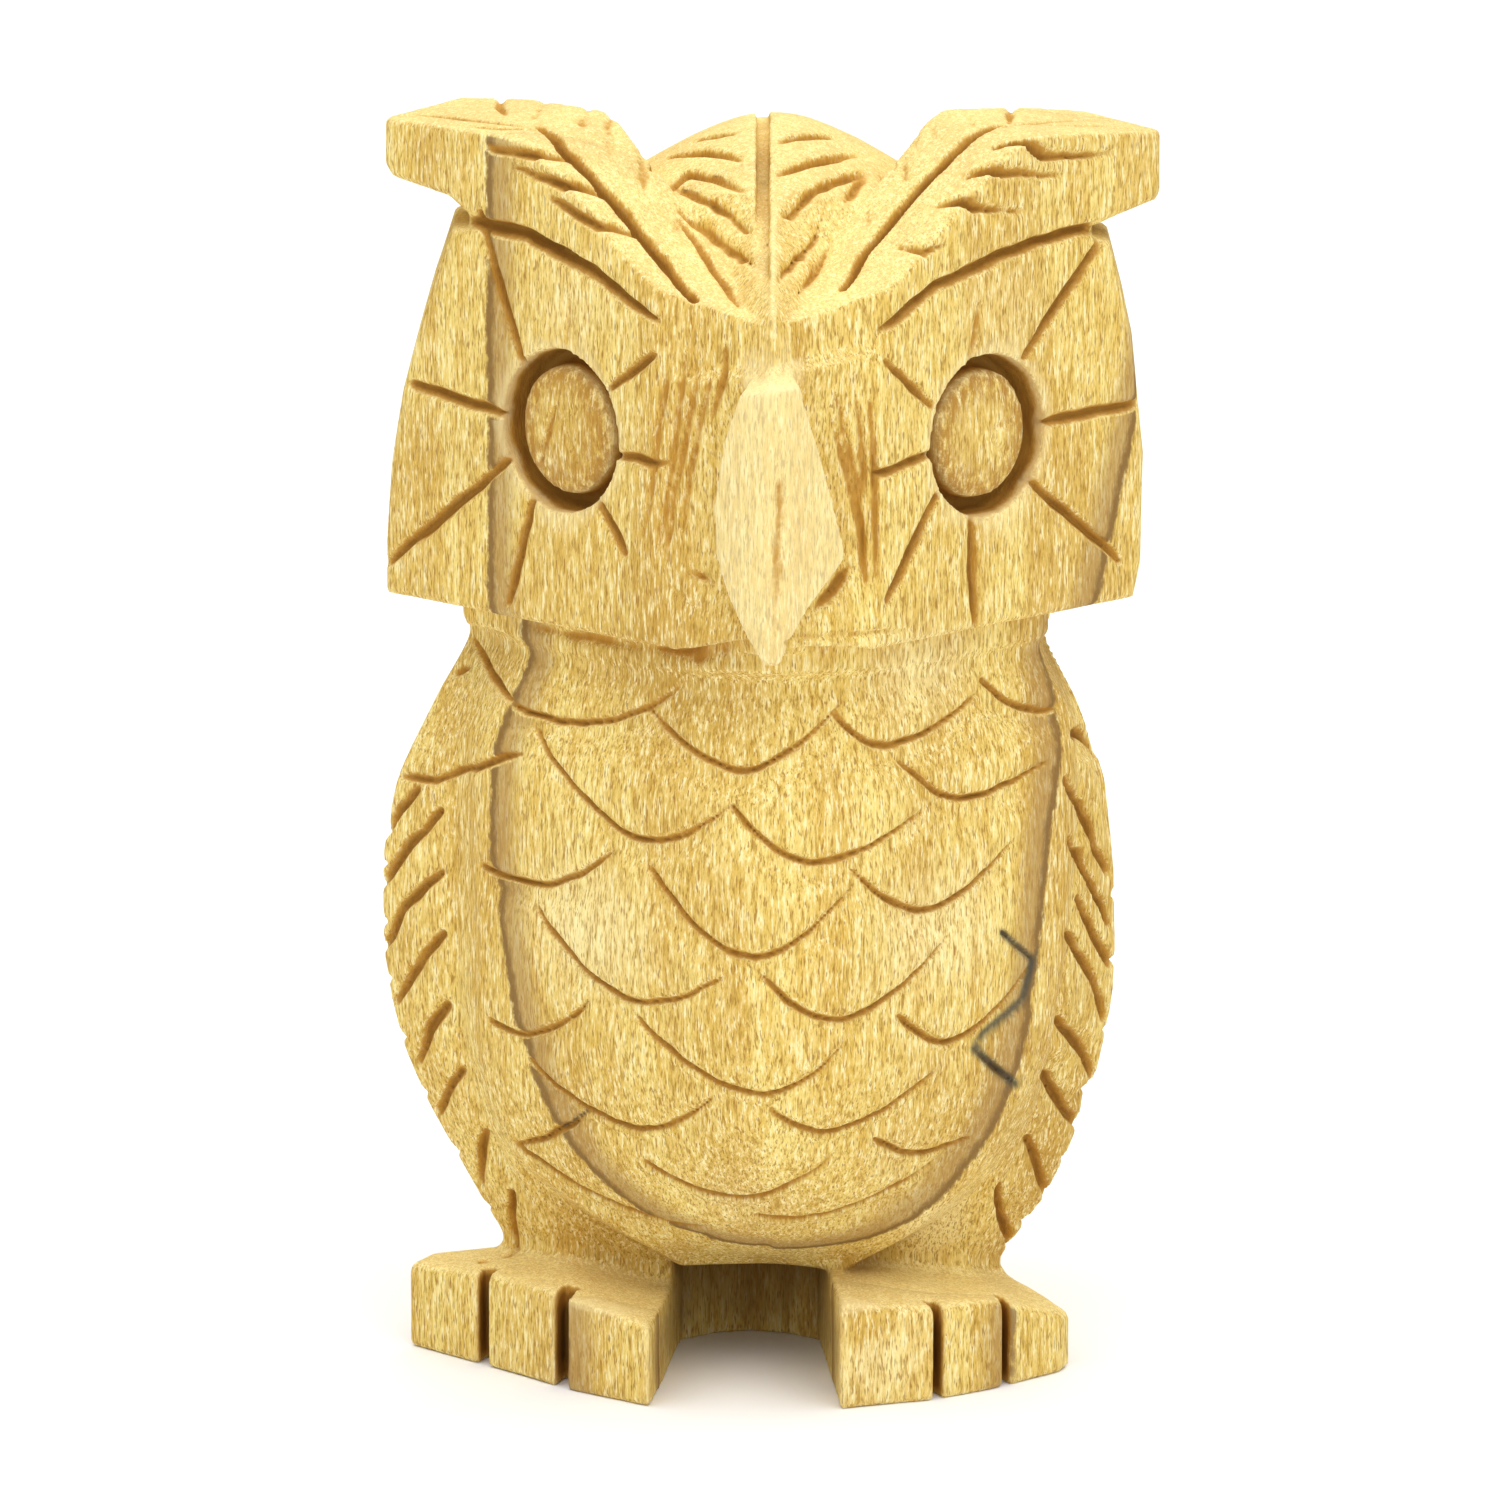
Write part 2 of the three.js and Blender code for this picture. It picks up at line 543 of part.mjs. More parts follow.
function coreRing(z) {
  const ring = [new THREE.Vector3(0, along(LEG_FRONT, z), z)];
  const half = (side) => {
    const inner = along(WING_INNER[side], z);
    const outer = along(WING_EDGE[side], z);
    const depth = along(WING_INNER_DEPTH, z);
    const front = along(LEG_FRONT, z);
    const points = [
      [inner * 0.35, front + (depth - front) * 0.08], [inner * 0.7, front + (depth - front) * 0.42],
      [inner, depth], [(inner + outer) / 2, (depth + WING_EDGE_DEPTH) / 2 - 0.35],
      [outer, WING_EDGE_DEPTH - 0.6], [outer, WING_EDGE_DEPTH + 0.6],
    ];
    const steps = 8;
    const rear = along(BACK, z);
    for (let i = 1; i < steps; i++) {
      const share = 1 - i / steps;
      const k = BACK_ROUNDING;
      const bend = (Math.hypot(share, k) - k) / (Math.hypot(1, k) - k);
      points.push([outer * share, rear + (WING_EDGE_DEPTH + 0.6 - rear) * bend]);
    }
    return points.map(([x, y]) => new THREE.Vector3(side * x, y, z));
  };
  ring.push(...half(RIGHT), new THREE.Vector3(0, along(BACK, z), z), ...half(LEFT).reverse());
  return ring;
}

function core() {
  const levels = [11.8, 15.9, 20, 24.1, 28.2, 32.3, 40, 46.2, 50, 53.5, 57.5];
  return loft([LEG_BOTTOM, BELLY_BOTTOM, ...levels, BREAST_TOP].map(coreRing));
}

// The chin stands a little proud of the neck, under the head.
const CHIN_HALF_WIDTH = { [LEFT]: 24.2, [RIGHT]: 21.6 };

function chin() {
  const reach = CORNER - CHIN_SETBACK;
  const [left, right] = [CHIN_HALF_WIDTH[LEFT], CHIN_HALF_WIDTH[RIGHT]];
  const outline = [
    [-3, -reach + 5], [3, -reach + 5], [right, right - reach], [right, reach - right], [4, reach - 4],
    [-4, reach - 4], [-left, reach - left], [-left, left - reach],
  ];
  return upright(outline, HEAD_BOTTOM - CHIN_HEIGHT, HEAD_BOTTOM + 0.3);
}

// Edge of each breast feather seen from the front: [left x, z, lowest x, z, right x, z]
const FEATHERS = [
  [-20.1, 54.1, -16.5, 53.7, -6.9, 58], [-9.8, 56.1, -2.8, 51.9, 5.8, 57], [5, 55.9, 9.1, 53.1, 16.3, 55.9],
  [16.6, 56.7, 21.9, 53.5, 22.6, 53.6], [-18.6, 52.6, -10.3, 45.6, -3.5, 49.2],
  [-3.2, 49.2, 3.7, 44.6, 12.4, 48.1], [10.1, 51.9, 15.6, 47.9, 21.9, 49.7],
  [-22.9, 40.8, -19, 40.3, -11.8, 45.3], [-9.8, 43.5, -1.8, 37.2, 6.7, 42.9],
  [6.3, 43.9, 12.6, 39.7, 19.1, 43.8], [-18.6, 38.3, -11, 32.6, -3.1, 36.3],
  [-22.3, 28.6, -20.1, 27.8, -14.3, 32.3], [-0.9, 35.7, 5.2, 31.9, 14, 37.4],
  [10.1, 31.5, 14.1, 28.6, 20.6, 33.7], [-11.1, 31.6, -0.7, 26, 7, 31.4],
  [-19.3, 25.9, -10.8, 21.7, -3.9, 26.6], [-0.6, 25.2, 4.1, 22.5, 13.5, 26.9],
  [8.3, 21.3, 12, 19.2, 15.7, 20], [-10, 18.9, -2.9, 16.5, 5.8, 21.2],
  [-20.3, 18.2, -7, 13.2, -4.9, 13.4], [-1.2, 14.9, 2.4, 14.5, 14.5, 19.3],
];

function feather([x0, z0, x1, z1, x2, z2]) {
  const steps = 6;
  const stations = Array.from({ length: steps + 1 }, (_, i) => {
    const share = i / steps;
    const x = x0 + (x2 - x0) * share;
    const rise = x < x1 ? [(x1 - x) / (x1 - x0), z0 - z1] : [(x - x1) / (x2 - x1), z2 - z1];
    const z = z1 + rise[1] * rise[0] ** 1.8;
    return breastStation(x, z);
  });
  return groove(stations, 1, 0.85, 0.4);
}

function breastStation(x, z) {
  const step = 0.5;
  const slopeX = (breastDepth(x + step, z) - breastDepth(x - step, z)) / (2 * step);
  const slopeZ = (breastDepth(x, z + step) - breastDepth(x, z - step)) / (2 * step);
  return {
    point: new THREE.Vector3(x, breastDepth(x, z), z),
    normal: new THREE.Vector3(slopeX, -1, slopeZ).normalize(),
  };
}

// Slanting barbs cut into each wing's edge, mirrored round on to the back of the wing:
// height of the lowest end of the first one, spacing, how many, and how far each one rises.
const BARBS = {
  [LEFT]: { first: 42.8, pitch: 4.75, count: 8, rise: 5.2, reach: 0.72 },
  [RIGHT]: { first: 40, pitch: 5.5, count: 6, rise: 6.4, reach: 0.9 },
};

function wingBarbs(side) {
  const { first, pitch, count, rise, reach } = BARBS[side];
  const cuts = [];
  for (let i = 0; i < count; i++) {
    const low = first - pitch * i;
    const front = straight([0, low], [reach, low + rise], 1, ([share, z]) => {
      const outer = along(WING_EDGE[side], z);
      const inner = along(WING_INNER[side], z);
      const depth = along(WING_INNER_DEPTH, z);
      const x = outer + (inner - outer) * share;
      const y = WING_EDGE_DEPTH - 0.6 + (depth - WING_EDGE_DEPTH + 0.6) * share;
      return {
        point: new THREE.Vector3(side * x, y, z),
        normal: new THREE.Vector3(side * (WING_EDGE_DEPTH - depth), inner - outer, 0).normalize(),
      };
    });
    cuts.push(groove(front, 1.5, 1.2, 0.8));
    const behind = straight([1, low], [0.72, low + rise * 1.3], 1, ([share, z]) => {
      const outer = along(WING_EDGE[side], z);
      const rear = along(BACK, z);
      const k = BACK_ROUNDING;
      const bend = (Math.hypot(share, k) - k) / (Math.hypot(1, k) - k);
      const y = rear + (WING_EDGE_DEPTH + 0.6 - rear) * bend;
      return {
        point: new THREE.Vector3(side * outer * share, y, z),
        normal: new THREE.Vector3(side, 1, 0).normalize(),
      };
    });
    cuts.push(groove(behind, 1.5, 1.2, 1));
  }
  return cuts;
}

// Feet and tail block. The gap between the feet is cut after, up to the belly.
const FOOT = {
  [LEFT]: [
    [-29, -0.8], [-23.3, -6.9], [-16.3, -14.6], [-9.6, -20.1], [-5, 3], [-7, 12], [-14, 12], [-18, 3.6],
    [-27.4, 2],
  ],
  [RIGHT]: [
    [3, 1.6], [5.3, -20.7], [12.6, -18], [17.4, -14.6], [23, -9.2], [23.6, -7.4], [19.5, 0.6], [13, 12],
    [5, 12],
  ],
};
// Height of each foot's top: [x, z at its front, z at its back]
const FOOT_TOP = {
  [LEFT]: [[-29, 6.5, 7.2], [-23, 8.2, 7], [-16, 8, 7.5], [-9.4, 6.7, 5.6]],
  [RIGHT]: [[5, 8.6, 8], [12.6, 7.9, 6.1], [17.4, 8.5, 4.3], [23.4, 5.3, 4]],
};
const FOOT_TOP_FRONT = -24;
const FOOT_TOP_BACK = 13;
const TAIL = [[-8, 0], [5, 0], [8, 12], [7, 19.4], [1.2, 26], [-1.2, 26], [-7, 19.4], [-9, 12]];
const GAP = [
  [-10.2, -26], [-9.6, -20.1], [-7.2, 0.9], [-4.6, 3], [-1.75, 3.8], [1.1, 3], [3.8, 0.9], [5.3, -20.7],
  [5.6, -26],
];
// Saw cuts between the toes: [x, y, width]
const TOE_CUTS = {
  [LEFT]: [[-23, -7.2, 1.1], [-16.5, -13.6, 1.3]],
  [RIGHT]: [[13.1, -17.6, 0.9], [18.6, -13.6, 0.6]],
};
const TOE_CUT_DEPTH = 2.4;
const TOE_CUT_TURN = { [LEFT]: -Math.PI / 10, [RIGHT]: Math.PI / 8 };

function foot(side) {
  const block = upright(FOOT[side], 0, FOOT_HEIGHT);
  const profile = FOOT_TOP[side];
  const [first, last] = [profile[0], profile.at(-1)];
  const stations = [[first[0] - 3, first[1], first[2]], ...profile, [last[0] + 3, last[1], last[2]]];
  const rings = stations.map(([x, front, back]) => [
    new THREE.Vector3(x, FOOT_TOP_FRONT, front), new THREE.Vector3(x, FOOT_TOP_FRONT, 14),
    new THREE.Vector3(x, FOOT_TOP_BACK, 14), new THREE.Vector3(x, FOOT_TOP_BACK, back),
  ]);
  const cut = block.subtract(loft(rings));
  return TOE_CUTS[side].reduce((rest, [x, y, width]) => {
    const geometry = new THREE.BoxGeometry(width, 2 * TOE_CUT_DEPTH, 2 * FOOT_HEIGHT);
    geometry.rotateZ(TOE_CUT_TURN[side]);
    geometry.translate(x, y, FOOT_HEIGHT / 2);
    return rest.subtract(solid(geometry));
  }, cut);
}

// Saw cut down the middle of the crest: [y, z] round its side
const MIDDLE_CUT = [
  [-31, 87], [-31, 104], [12, 104], [12, 98], [-1, 98.3], [-12, 94.6], [-22, 89.4], [-27, 86.8],
];
const MIDDLE_CUT_X = -0.75;

function middleCut() {
  const edges = [MIDDLE_CUT_X - KERF / 2, MIDDLE_CUT_X + KERF / 2];
  return loft(edges.map((x) => MIDDLE_CUT.map(([y, z]) => new THREE.Vector3(x, y, z))));
}

function owl() {
  const base = [foot(LEFT), foot(RIGHT), upright(TAIL, 0, BELLY_BOTTOM + 2), core()]
    .reduce((all, part) => all.add(part))
    .subtract(upright(GAP, -1, BELLY_BOTTOM));
  const mass = [head(), chin(), breast(), base].reduce((all, part) => all.add(part));
  const cuts = [
    brokenCornerAboveBeak(), middleCut(),
    ...BOTH.flatMap((side) => [
      besideBeak(side), faceArch(side), eyeCut(side), ...eyeRays(side), browLine(side), ...brow(side),
      ...outerBarbs(side), ...crestBarbs(side), ...wingBarbs(side),
    ]),
    ...FEATHERS.map(feather),
  ];
  return withoutCrumbs(cuts.reduce((rest, cut) => rest.subtract(cut), mass));
}

// Two lines that cross can cut a crumb loose: only the owl itself is kept.
function withoutCrumbs(shape) {
  return shape.decompose().reduce((most, body) => (body.volume() > most.volume() ? body : most));
}

function meshOf(name, shape, material) {
  const { vertProperties, triVerts } = shape.getMesh();
  const geometry = new THREE.BufferGeometry();
  geometry.setAttribute("position", new THREE.BufferAttribute(vertProperties, 3));
  geometry.setIndex(new THREE.BufferAttribute(triVerts, 1));
  geometry.computeVertexNormals();
  const mesh = new THREE.Mesh(geometry, material);
  mesh.name = name;
  return mesh;
}

const wood = new THREE.MeshStandardMaterial({ color: 0xd9b05c, roughness: 0.68, metalness: 0 });
const carving = new THREE.Group();
carving.add(meshOf("owl", owl(), wood));
export default carving;
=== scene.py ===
import math

import bpy
import numpy as np
import openvdb
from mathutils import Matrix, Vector


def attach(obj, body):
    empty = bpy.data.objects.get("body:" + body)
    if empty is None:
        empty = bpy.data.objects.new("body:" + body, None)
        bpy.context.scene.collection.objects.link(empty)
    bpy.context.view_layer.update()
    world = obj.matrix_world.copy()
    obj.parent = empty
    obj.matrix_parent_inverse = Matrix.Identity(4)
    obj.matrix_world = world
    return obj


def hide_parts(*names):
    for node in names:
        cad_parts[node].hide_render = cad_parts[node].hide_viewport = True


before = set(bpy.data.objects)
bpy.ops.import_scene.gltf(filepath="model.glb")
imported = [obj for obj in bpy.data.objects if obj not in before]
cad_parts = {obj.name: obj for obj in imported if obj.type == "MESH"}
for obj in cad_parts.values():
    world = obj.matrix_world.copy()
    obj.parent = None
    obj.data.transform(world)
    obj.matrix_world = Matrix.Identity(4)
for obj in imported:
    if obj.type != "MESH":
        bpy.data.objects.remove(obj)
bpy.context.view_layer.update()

# Carved wooden owl. The carving is worked out in millimetres as one field over a block of voxels,
# negative inside the wood: first the mass, then every cut, then the small unevenness of hand work.
MM = 0.001
VOXEL = 0.26
TRIANGLES = 190000
CORNER = 30.7  # centre of the block to each of its upright corners
HEAD_BOTTOM = 61.3
BREAST_TOP = 61.9
BREAST_BOTTOM = 8.3
BODY_BOTTOM = 4.5
BELLY_BOTTOM = 8.5
SQRT_HALF = math.sqrt(0.5)
LEFT, RIGHT = -1, 1
BOTH = (LEFT, RIGHT)

LOW = np.array([-32.1, -32.1, -1.5])
HIGH = np.array([32.1, 32.1, 102.3])
COUNT = np.round((HIGH - LOW) / VOXEL).astype(int) + 1
XS, YS, ZS = [(LOW[k] + VOXEL * np.arange(COUNT[k])).astype(np.float32) for k in range(3)]
X = XS[:, None, None]
Y = YS[None, :, None]
Z = ZS[None, None, :]


# Small tools
def smooth_table(profile, blur=0.8, step=0.1):
    """A profile of (place, value) pairs as a table with its bends eased."""
    at, value = zip(*profile)
    reach = int(3 * blur / step) + 1
    places = np.arange(at[0] - reach * step, at[-1] + reach * step, step)
    weights = np.exp(-0.5 * (np.arange(-reach, reach + 1) * step / blur) ** 2)
    padded = np.pad(np.interp(places, at, value), reach, mode="edge")
    return places, np.convolve(padded, weights / weights.sum(), mode="valid")


def along(profile, where, blur=0.8):
    places, values = smooth_table(profile, blur)
    return np.interp(where, places, values).astype(np.float32)


def straight(profile, where):
    at, value = zip(*profile)
    return np.interp(where, at, value).astype(np.float32)


def of_side(profiles, x, where, blur=0.8):
    """The profile of the side that x lies on, at where."""
    return np.where(x < 0, along(profiles[LEFT], where, blur), along(profiles[RIGHT], where, blur))


def eased(share, rounding):
    """Runs with share from 0 to 1, with a rounded start."""
    return (np.hypot(share, rounding) - rounding) / (math.hypot(1, rounding) - rounding)


def face_place(side, x, y):
    """Distance out from the middle along this side's front face, and in behind it."""
    return (side * x + y + CORNER) * SQRT_HALF, (-side * x + y + CORNER) * SQRT_HALF


def join(a, b, ease=0.0):
    """Both solids together, with a fillet of about ease where they meet."""
    if not ease:
        return np.minimum(a, b)
    h = np.maximum(ease - np.abs(a - b), 0) / ease
    return np.minimum(a, b) - h * h * ease * 0.25


def both(a, b, ease=0.0):
    """What lies in both solids, with its new edge rounded by about ease."""
    return -join(-a, -b, ease)


def leaning(height, spacing):
    """Length of the normal of a height field, to turn height above it into distance."""
    slopes = np.gradient(height, spacing)
    return np.sqrt(1 + slopes[0] ** 2 + slopes[1] ** 2).astype(np.float32)


def outline_distance(points, a, b):
    """Signed distance in a plane from a closed outline, negative inside."""
    best = np.full(np.broadcast(a, b).shape, 1e9, np.float32)
    inside = np.zeros(best.shape, bool)
    for (a0, b0), (a1, b1) in zip(points, points[1:] + points[:1]):
        da, db = a1 - a0, b1 - b0
        share = np.clip(((a - a0) * da + (b - b0) * db) / (da * da + db * db), 0, 1)
        best = np.minimum(best, (a - a0 - share * da) ** 2 + (b - b0 - share * db) ** 2)
        if db:
            crossing = (b0 > b) != (b1 > b)
            inside ^= crossing & (a < a0 + (b - b0) * da / db)
    return np.where(inside, -1, 1).astype(np.float32) * np.sqrt(best)


def upright(points):
    """Distance from an upright wall that stands on this outline of (x, y)."""
    return outline_distance(points, XS[:, None], YS[None, :])[:, :, None]


def unevenness(seed, size):
    """Smooth random field over the voxels, between about -1 and 1, with bumps of the given size."""
    random = np.random.default_rng(seed)
    sizes = np.broadcast_to(np.array(size, float), 3)
    counts = np.ceil((HIGH - LOW) / sizes).astype(int) + 4
    field = random.uniform(-1, 1, counts).astype(np.float32) * 1.6
    for axis in range(3):
        place = (np.arange(COUNT[axis]) * VOXEL / sizes[axis] + 1.0).astype(np.float32)
        cell = place.astype(int)
        f = place - cell
        weights = np.zeros((COUNT[axis], counts[axis]), np.float32)
        spline = ((1 - f) ** 3 / 6, (3 * f ** 3 - 6 * f ** 2 + 4) / 6,
                  (-3 * f ** 3 + 3 * f ** 2 + 3 * f + 1) / 6, f ** 3 / 6)
        for offset, weight in enumerate(spline):
            weights[np.arange(COUNT[axis]), np.minimum(cell + offset - 1, counts[axis] - 1)] += weight
        field = np.moveaxis(np.tensordot(weights, field, (1, axis)), 0, axis)
    return field


# Head top: brows that rise from the beak to square-ended tufts, with a domed crest between
BROW_TOP = [
    (2, 87.2), (6.6, 87.8), (9, 88.3), (12.6, 89.6), (14.9, 91.2), (17.6, 93), (20, 94.9),
    (22.4, 96.6), (24.7, 98), (27, 99.1), (30, 99.5),
]
BROW_WIDTH = [(2, 1.6), (6.6, 3.8), (13, 8), (17, 8.7), (24, 9), (30, 11), (38, 11), (44, 8)]
TUFT_START = 30
TUFT_END_DROP = {LEFT: 0.1, RIGHT: 1.1}
BROW_TILT = 0.075
CREST_TOP = 99.4
BROW_DEEP = 11


def top_height(x, y):
    side_drop = np.where(x < 0, TUFT_END_DROP[LEFT], TUFT_END_DROP[RIGHT])
    t, u = face_place(1, np.abs(x), y)
    end = np.maximum(0, t - TUFT_START) / (CORNER / SQRT_HALF - TUFT_START)
    brow = along(BROW_TOP, t) - side_drop * end + BROW_TILT * np.clip(u, -2, BROW_DEEP)
    inward = u - along(BROW_WIDTH, t)
    crown = CREST_TOP - 0.7 * (np.hypot(x, 6) - 6) - 0.6 * (np.hypot(y - 1, 12) - 12)
    falling = brow - 2.2 * inward
    rising = np.minimum(crown, brow + 1.2 * inward)
    behind = (falling + rising + np.hypot(falling - rising, np.clip(inward, 0, 0.8))) / 2
    rounded = brow - np.where(t < 26, 0.06 * np.maximum(0, 2.5 - u) ** 2, 0)
    return np.where(inward < 0, rounded, behind).astype(np.float32)


def top_slope(x, y, step=0.6):
    dx = (top_height(x + step, y) - top_height(x - step, y)) / (2 * step)
    dy = (top_height(x, y + step) - top_height(x, y - step)) / (2 * step)
    return dx, dy


HEAD_SIDES = {
    LEFT: [
        (30.7, 61.3), (30.6, 65.6), (30, 72), (29.1, 77.6), (27.8, 82.4), (26.5, 87), (25, 91.4),
        (23.7, 91.6), (23.7, 92.8), (25.3, 94), (29.8, 94.8), (30.5, 95.8), (30.5, 103),
    ],
    RIGHT: [
        (28.5, 61.3), (29.1, 64), (29.3, 72.8), (28.3, 82.4), (27.6, 85.6), (26.4, 90.2),
        (25, 90.6), (25, 91.6), (30.2, 92.9), (30.6, 93.6), (30.6, 103),
    ],
}
BEAK_EDGE = {
    LEFT: [
        (60, 0.9), (61.3, 1.4), (63.4, 3.2), (66.6, 5.4), (69.4, 6.5), (73.3, 6.8), (78.5, 5.7),
        (83.2, 3.6), (84.6, 3.3), (90, 3),
    ],
    RIGHT: [
        (60, 0.9), (61.6, 1.4), (62.9, 2.1), (65.5, 4.1), (69, 8.3), (70.2, 8), (76.8, 5.8), (82, 3.7),
        (84.8, 3.1), (90, 3),
    ],
}
HOLLOW_DEPTH = 2.5
HOLLOW_BASE = 52  # its depth swells and fades over its height above this, and it stops at its top
HOLLOW_HEIGHT = 44
HOLLOW_TOP = 88.2
HOLLOW_END = {LEFT: 13, RIGHT: 11.3}
HOLLOW_STEP = {LEFT: 0.02, RIGHT: 0.2}  # share of its depth that it ends with
FACE_ARCH = {
    LEFT: [(2.2, 59), (2.6, 62.4), (4.4, 62.9), (6.6, 62.4), (9, 61.7), (11.6, 61.2), (13, 59)],
    RIGHT: [(2.2, 59), (2.6, 62.2), (5, 62.3), (9, 61.8), (11.6, 61.3), (13, 59)],
}
ARCH_DEPTH = 3.2
BROKEN_CORNER = [(82.2, -2), (82.9, 0.6), (83.7, 2.9), (84.4, 3.4), (86, 3.5), (87.6, 3.6), (91, 4)]
BROKEN_CORNER_TILT = 0.15
BROKEN_REACH = 9
CORNER_ROUNDING = 1.1


def head():
    points = HEAD_SIDES[RIGHT] + [(-x, z) for x, z in reversed(HEAD_SIDES[LEFT])]
    sides = outline_distance(points, XS[:, None], ZS[None, :])[:, None, :]
    block = (np.hypot(X, CORNER_ROUNDING) + np.abs(Y) - CORNER - 0.15) * SQRT_HALF
    height = top_height(XS[:, None], YS[None, :])
    top = (Z - height[:, :, None]) / leaning(height, VOXEL)[:, :, None]
    shape = both(both(block, sides, 0.7), top, 0.5)

    # The hollows beside the beak, the arch under the face and the broken corner over the beak
    for side in BOTH:
        t, u = face_place(side, X, Y)
        edge = along(BEAK_EDGE[side], ZS, 0.4)[None, None, :]
        share = np.sin(np.pi * (ZS - HOLLOW_BASE) / HOLLOW_HEIGHT)[None, None, :] * (Z < HOLLOW_TOP)
        rise = np.clip((t - edge + 0.3) / 1.1, 0, 1)
        end, step = HOLLOW_END[side], HOLLOW_STEP[side]
        fade = np.clip((end - t) / (end - edge - 1), 0, 1)
        inner = (1 - step) * (0.15 * fade + 0.85 * fade ** 1.3) + step * np.clip(7 * fade, 0, 1)
        depth = HOLLOW_DEPTH * share * rise ** 0.8 * inner
        hollow = np.where((t > edge - 0.3) & (t < end), depth - u, -2)
        ts = np.arange(0, 16, 0.1)
        arch = np.interp(t, ts, along(FACE_ARCH[side], ts, 0.5))
        under = np.where((t > edge) & (u < ARCH_DEPTH), (arch - Z) * 0.8, -9)
        for cut in (hollow * 0.8, under):
            shape = np.maximum(shape, np.where(side * X > 0, cut, -9).astype(np.float32))
    lifted = ZS[None, :] - BROKEN_CORNER_TILT * XS[:, None]
    inward = straight(BROKEN_CORNER, lifted) * np.clip(1 - (XS[:, None] / BROKEN_REACH) ** 2, 0, 1)
    broken = (np.abs(XS)[:, None] - CORNER + inward)[:, None, :] - Y
    near = (lifted > BROKEN_CORNER[0][0])[:, None, :] & (np.abs(X) < BROKEN_REACH)
    broken = np.where(near, broken * 0.7, -9)
    return both(shape, broken.astype(np.float32), 0.4)


# Body
BREAST_FRONT = [
    (8.6, -6), (10, -11), (12, -14.6), (14, -17), (17, -19.4), (20, -21.1), (24, -22.7), (28, -23.7),
    (33, -24.3), (38, -24.5), (44, -24.2), (50, -23.6), (55, -22.6), (58, -21.8),
]
BREAST_SIDE = {
    LEFT: [
        (8.6, 6.5), (10, 9.8), (12, 12.6), (14, 16), (17, 20), (20, 21.5), (24, 22.6), (28, 23.2),
        (38, 23.4), (50, 22.8), (55, 20.8), (58, 19.5),
    ],
    RIGHT: [
        (8.6, 4.6), (10, 8.5), (12, 11.5), (14, 13.5), (17, 16.4), (20, 18.4), (24, 20.4), (28, 21.8),
        (38, 23.1), (50, 23.1), (55, 22.3), (58, 20.6),
    ],
}
BREAST_CORNER = [
    (8.6, 14), (10, 19), (12, 22.5), (14, 24.8), (17, 27.2), (20, 28.9), (24, 30.2), (28, 30.7),
    (50, 30.7), (55, 29), (58, 27.4),
]
BREAST_EASE = 1.2
BREAST_ROUNDING = 0.55
BREAST_SIDE_SLANT = 0.45


def breast_depth(x, z):
    """Y of the breast's front at x and z, as arrays that broadcast."""
    width = of_side(BREAST_SIDE, x, z, BREAST_EASE)
    front = along(BREAST_FRONT, z, BREAST_EASE)
    edge = width - along(BREAST_CORNER, z, BREAST_EASE)
    return front + (edge - front) * eased(np.minimum(np.abs(x) / width, 1.15), BREAST_ROUNDING)


def ahead_of(depth):
    """Distance in front of a surface given by its y over x and z, negative behind it."""
    lean = leaning(depth, VOXEL)
    return (depth / lean)[:, None, :] - Y / lean[:, None, :]


def breast():
    across = XS[:, None]
    depth = breast_depth(across, ZS[None, :]).astype(np.float32)
    front = ahead_of(depth)
    width = of_side(BREAST_SIDE, across, ZS, BREAST_EASE)
    edge = width - along(BREAST_CORNER, ZS, BREAST_EASE)
    lean = (1 + BREAST_SIDE_SLANT ** 2) ** -0.5
    side = (np.abs(across) - width + BREAST_SIDE_SLANT * edge)[:, None, :] * lean
    side = side - Y * (BREAST_SIDE_SLANT * lean)
    outer = of_side(WING_EDGE, across, ZS) - 0.2
    side = np.maximum(side, (np.abs(across) - outer)[:, None, :])
    level = np.maximum(Z - BREAST_TOP, BREAST_BOTTOM - Z)
    return both(both(front, side, 0.4), np.maximum(level, Y - 4), 0.4)


WING_EDGE = {
    LEFT: [
        (5, 18.6), (8.5, 21), (11.8, 23), (15.9, 25.1), (20, 27.3), (24.1, 29), (28.2, 30),
        (32.3, 30.6), (40, 30.6), (46.2, 29.4), (53.5, 26), (57.5, 23.7), (60, 23.2),
    ],
    RIGHT: [
        (5, 16.6), (8.5, 19.2), (11.8, 21.6), (15.9, 23.5), (21.7, 25.5), (28.2, 26.8),
        (32.3, 27.1), (38.8, 26.9), (46.2, 26.1), (52.7, 23.8), (57.5, 21.3), (60, 20.8),
    ],
}
WING_INNER = {
    LEFT: [
        (5, 15.6), (8.5, 17.4), (15.5, 20.4), (20, 22.4), (27, 24.2), (45, 24.3), (52, 22.6),
        (58, 20.4),
    ],
    RIGHT: [
        (5, 14), (8.5, 15.6), (14.7, 18.1), (22.6, 21), (32.5, 22.8), (45, 23.7), (54, 22.9),
        (58, 21),
    ],
}
WING_INNER_DEPTH = [
    (5, -2.2), (8.5, -3), (15.5, -4.4), (20, -5), (28, -5.4), (48, -5.3), (54, -4.4), (58, -3.4),
]
LEG_FRONT = [(5, -3.4), (8.5, -5.2), (12, -8), (16, -11), (20, -14), (30, -18), (60, -18)]
BACK = [(5, 19.6), (8.5, 22), (14, 24), (22, 26), (34, 27.2), (44, 26.4), (52, 24.4), (58, 22)]
WING_EDGE_DEPTH = 1.0
BACK_ROUNDING = 0.3


def back_depth(share, z):
    """Y of the back, at this share of the way from its middle to the wing's edge."""
    back = along(BACK, z)
    return back + (WING_EDGE_DEPTH + 0.6 - back) * eased(share, BACK_ROUNDING)


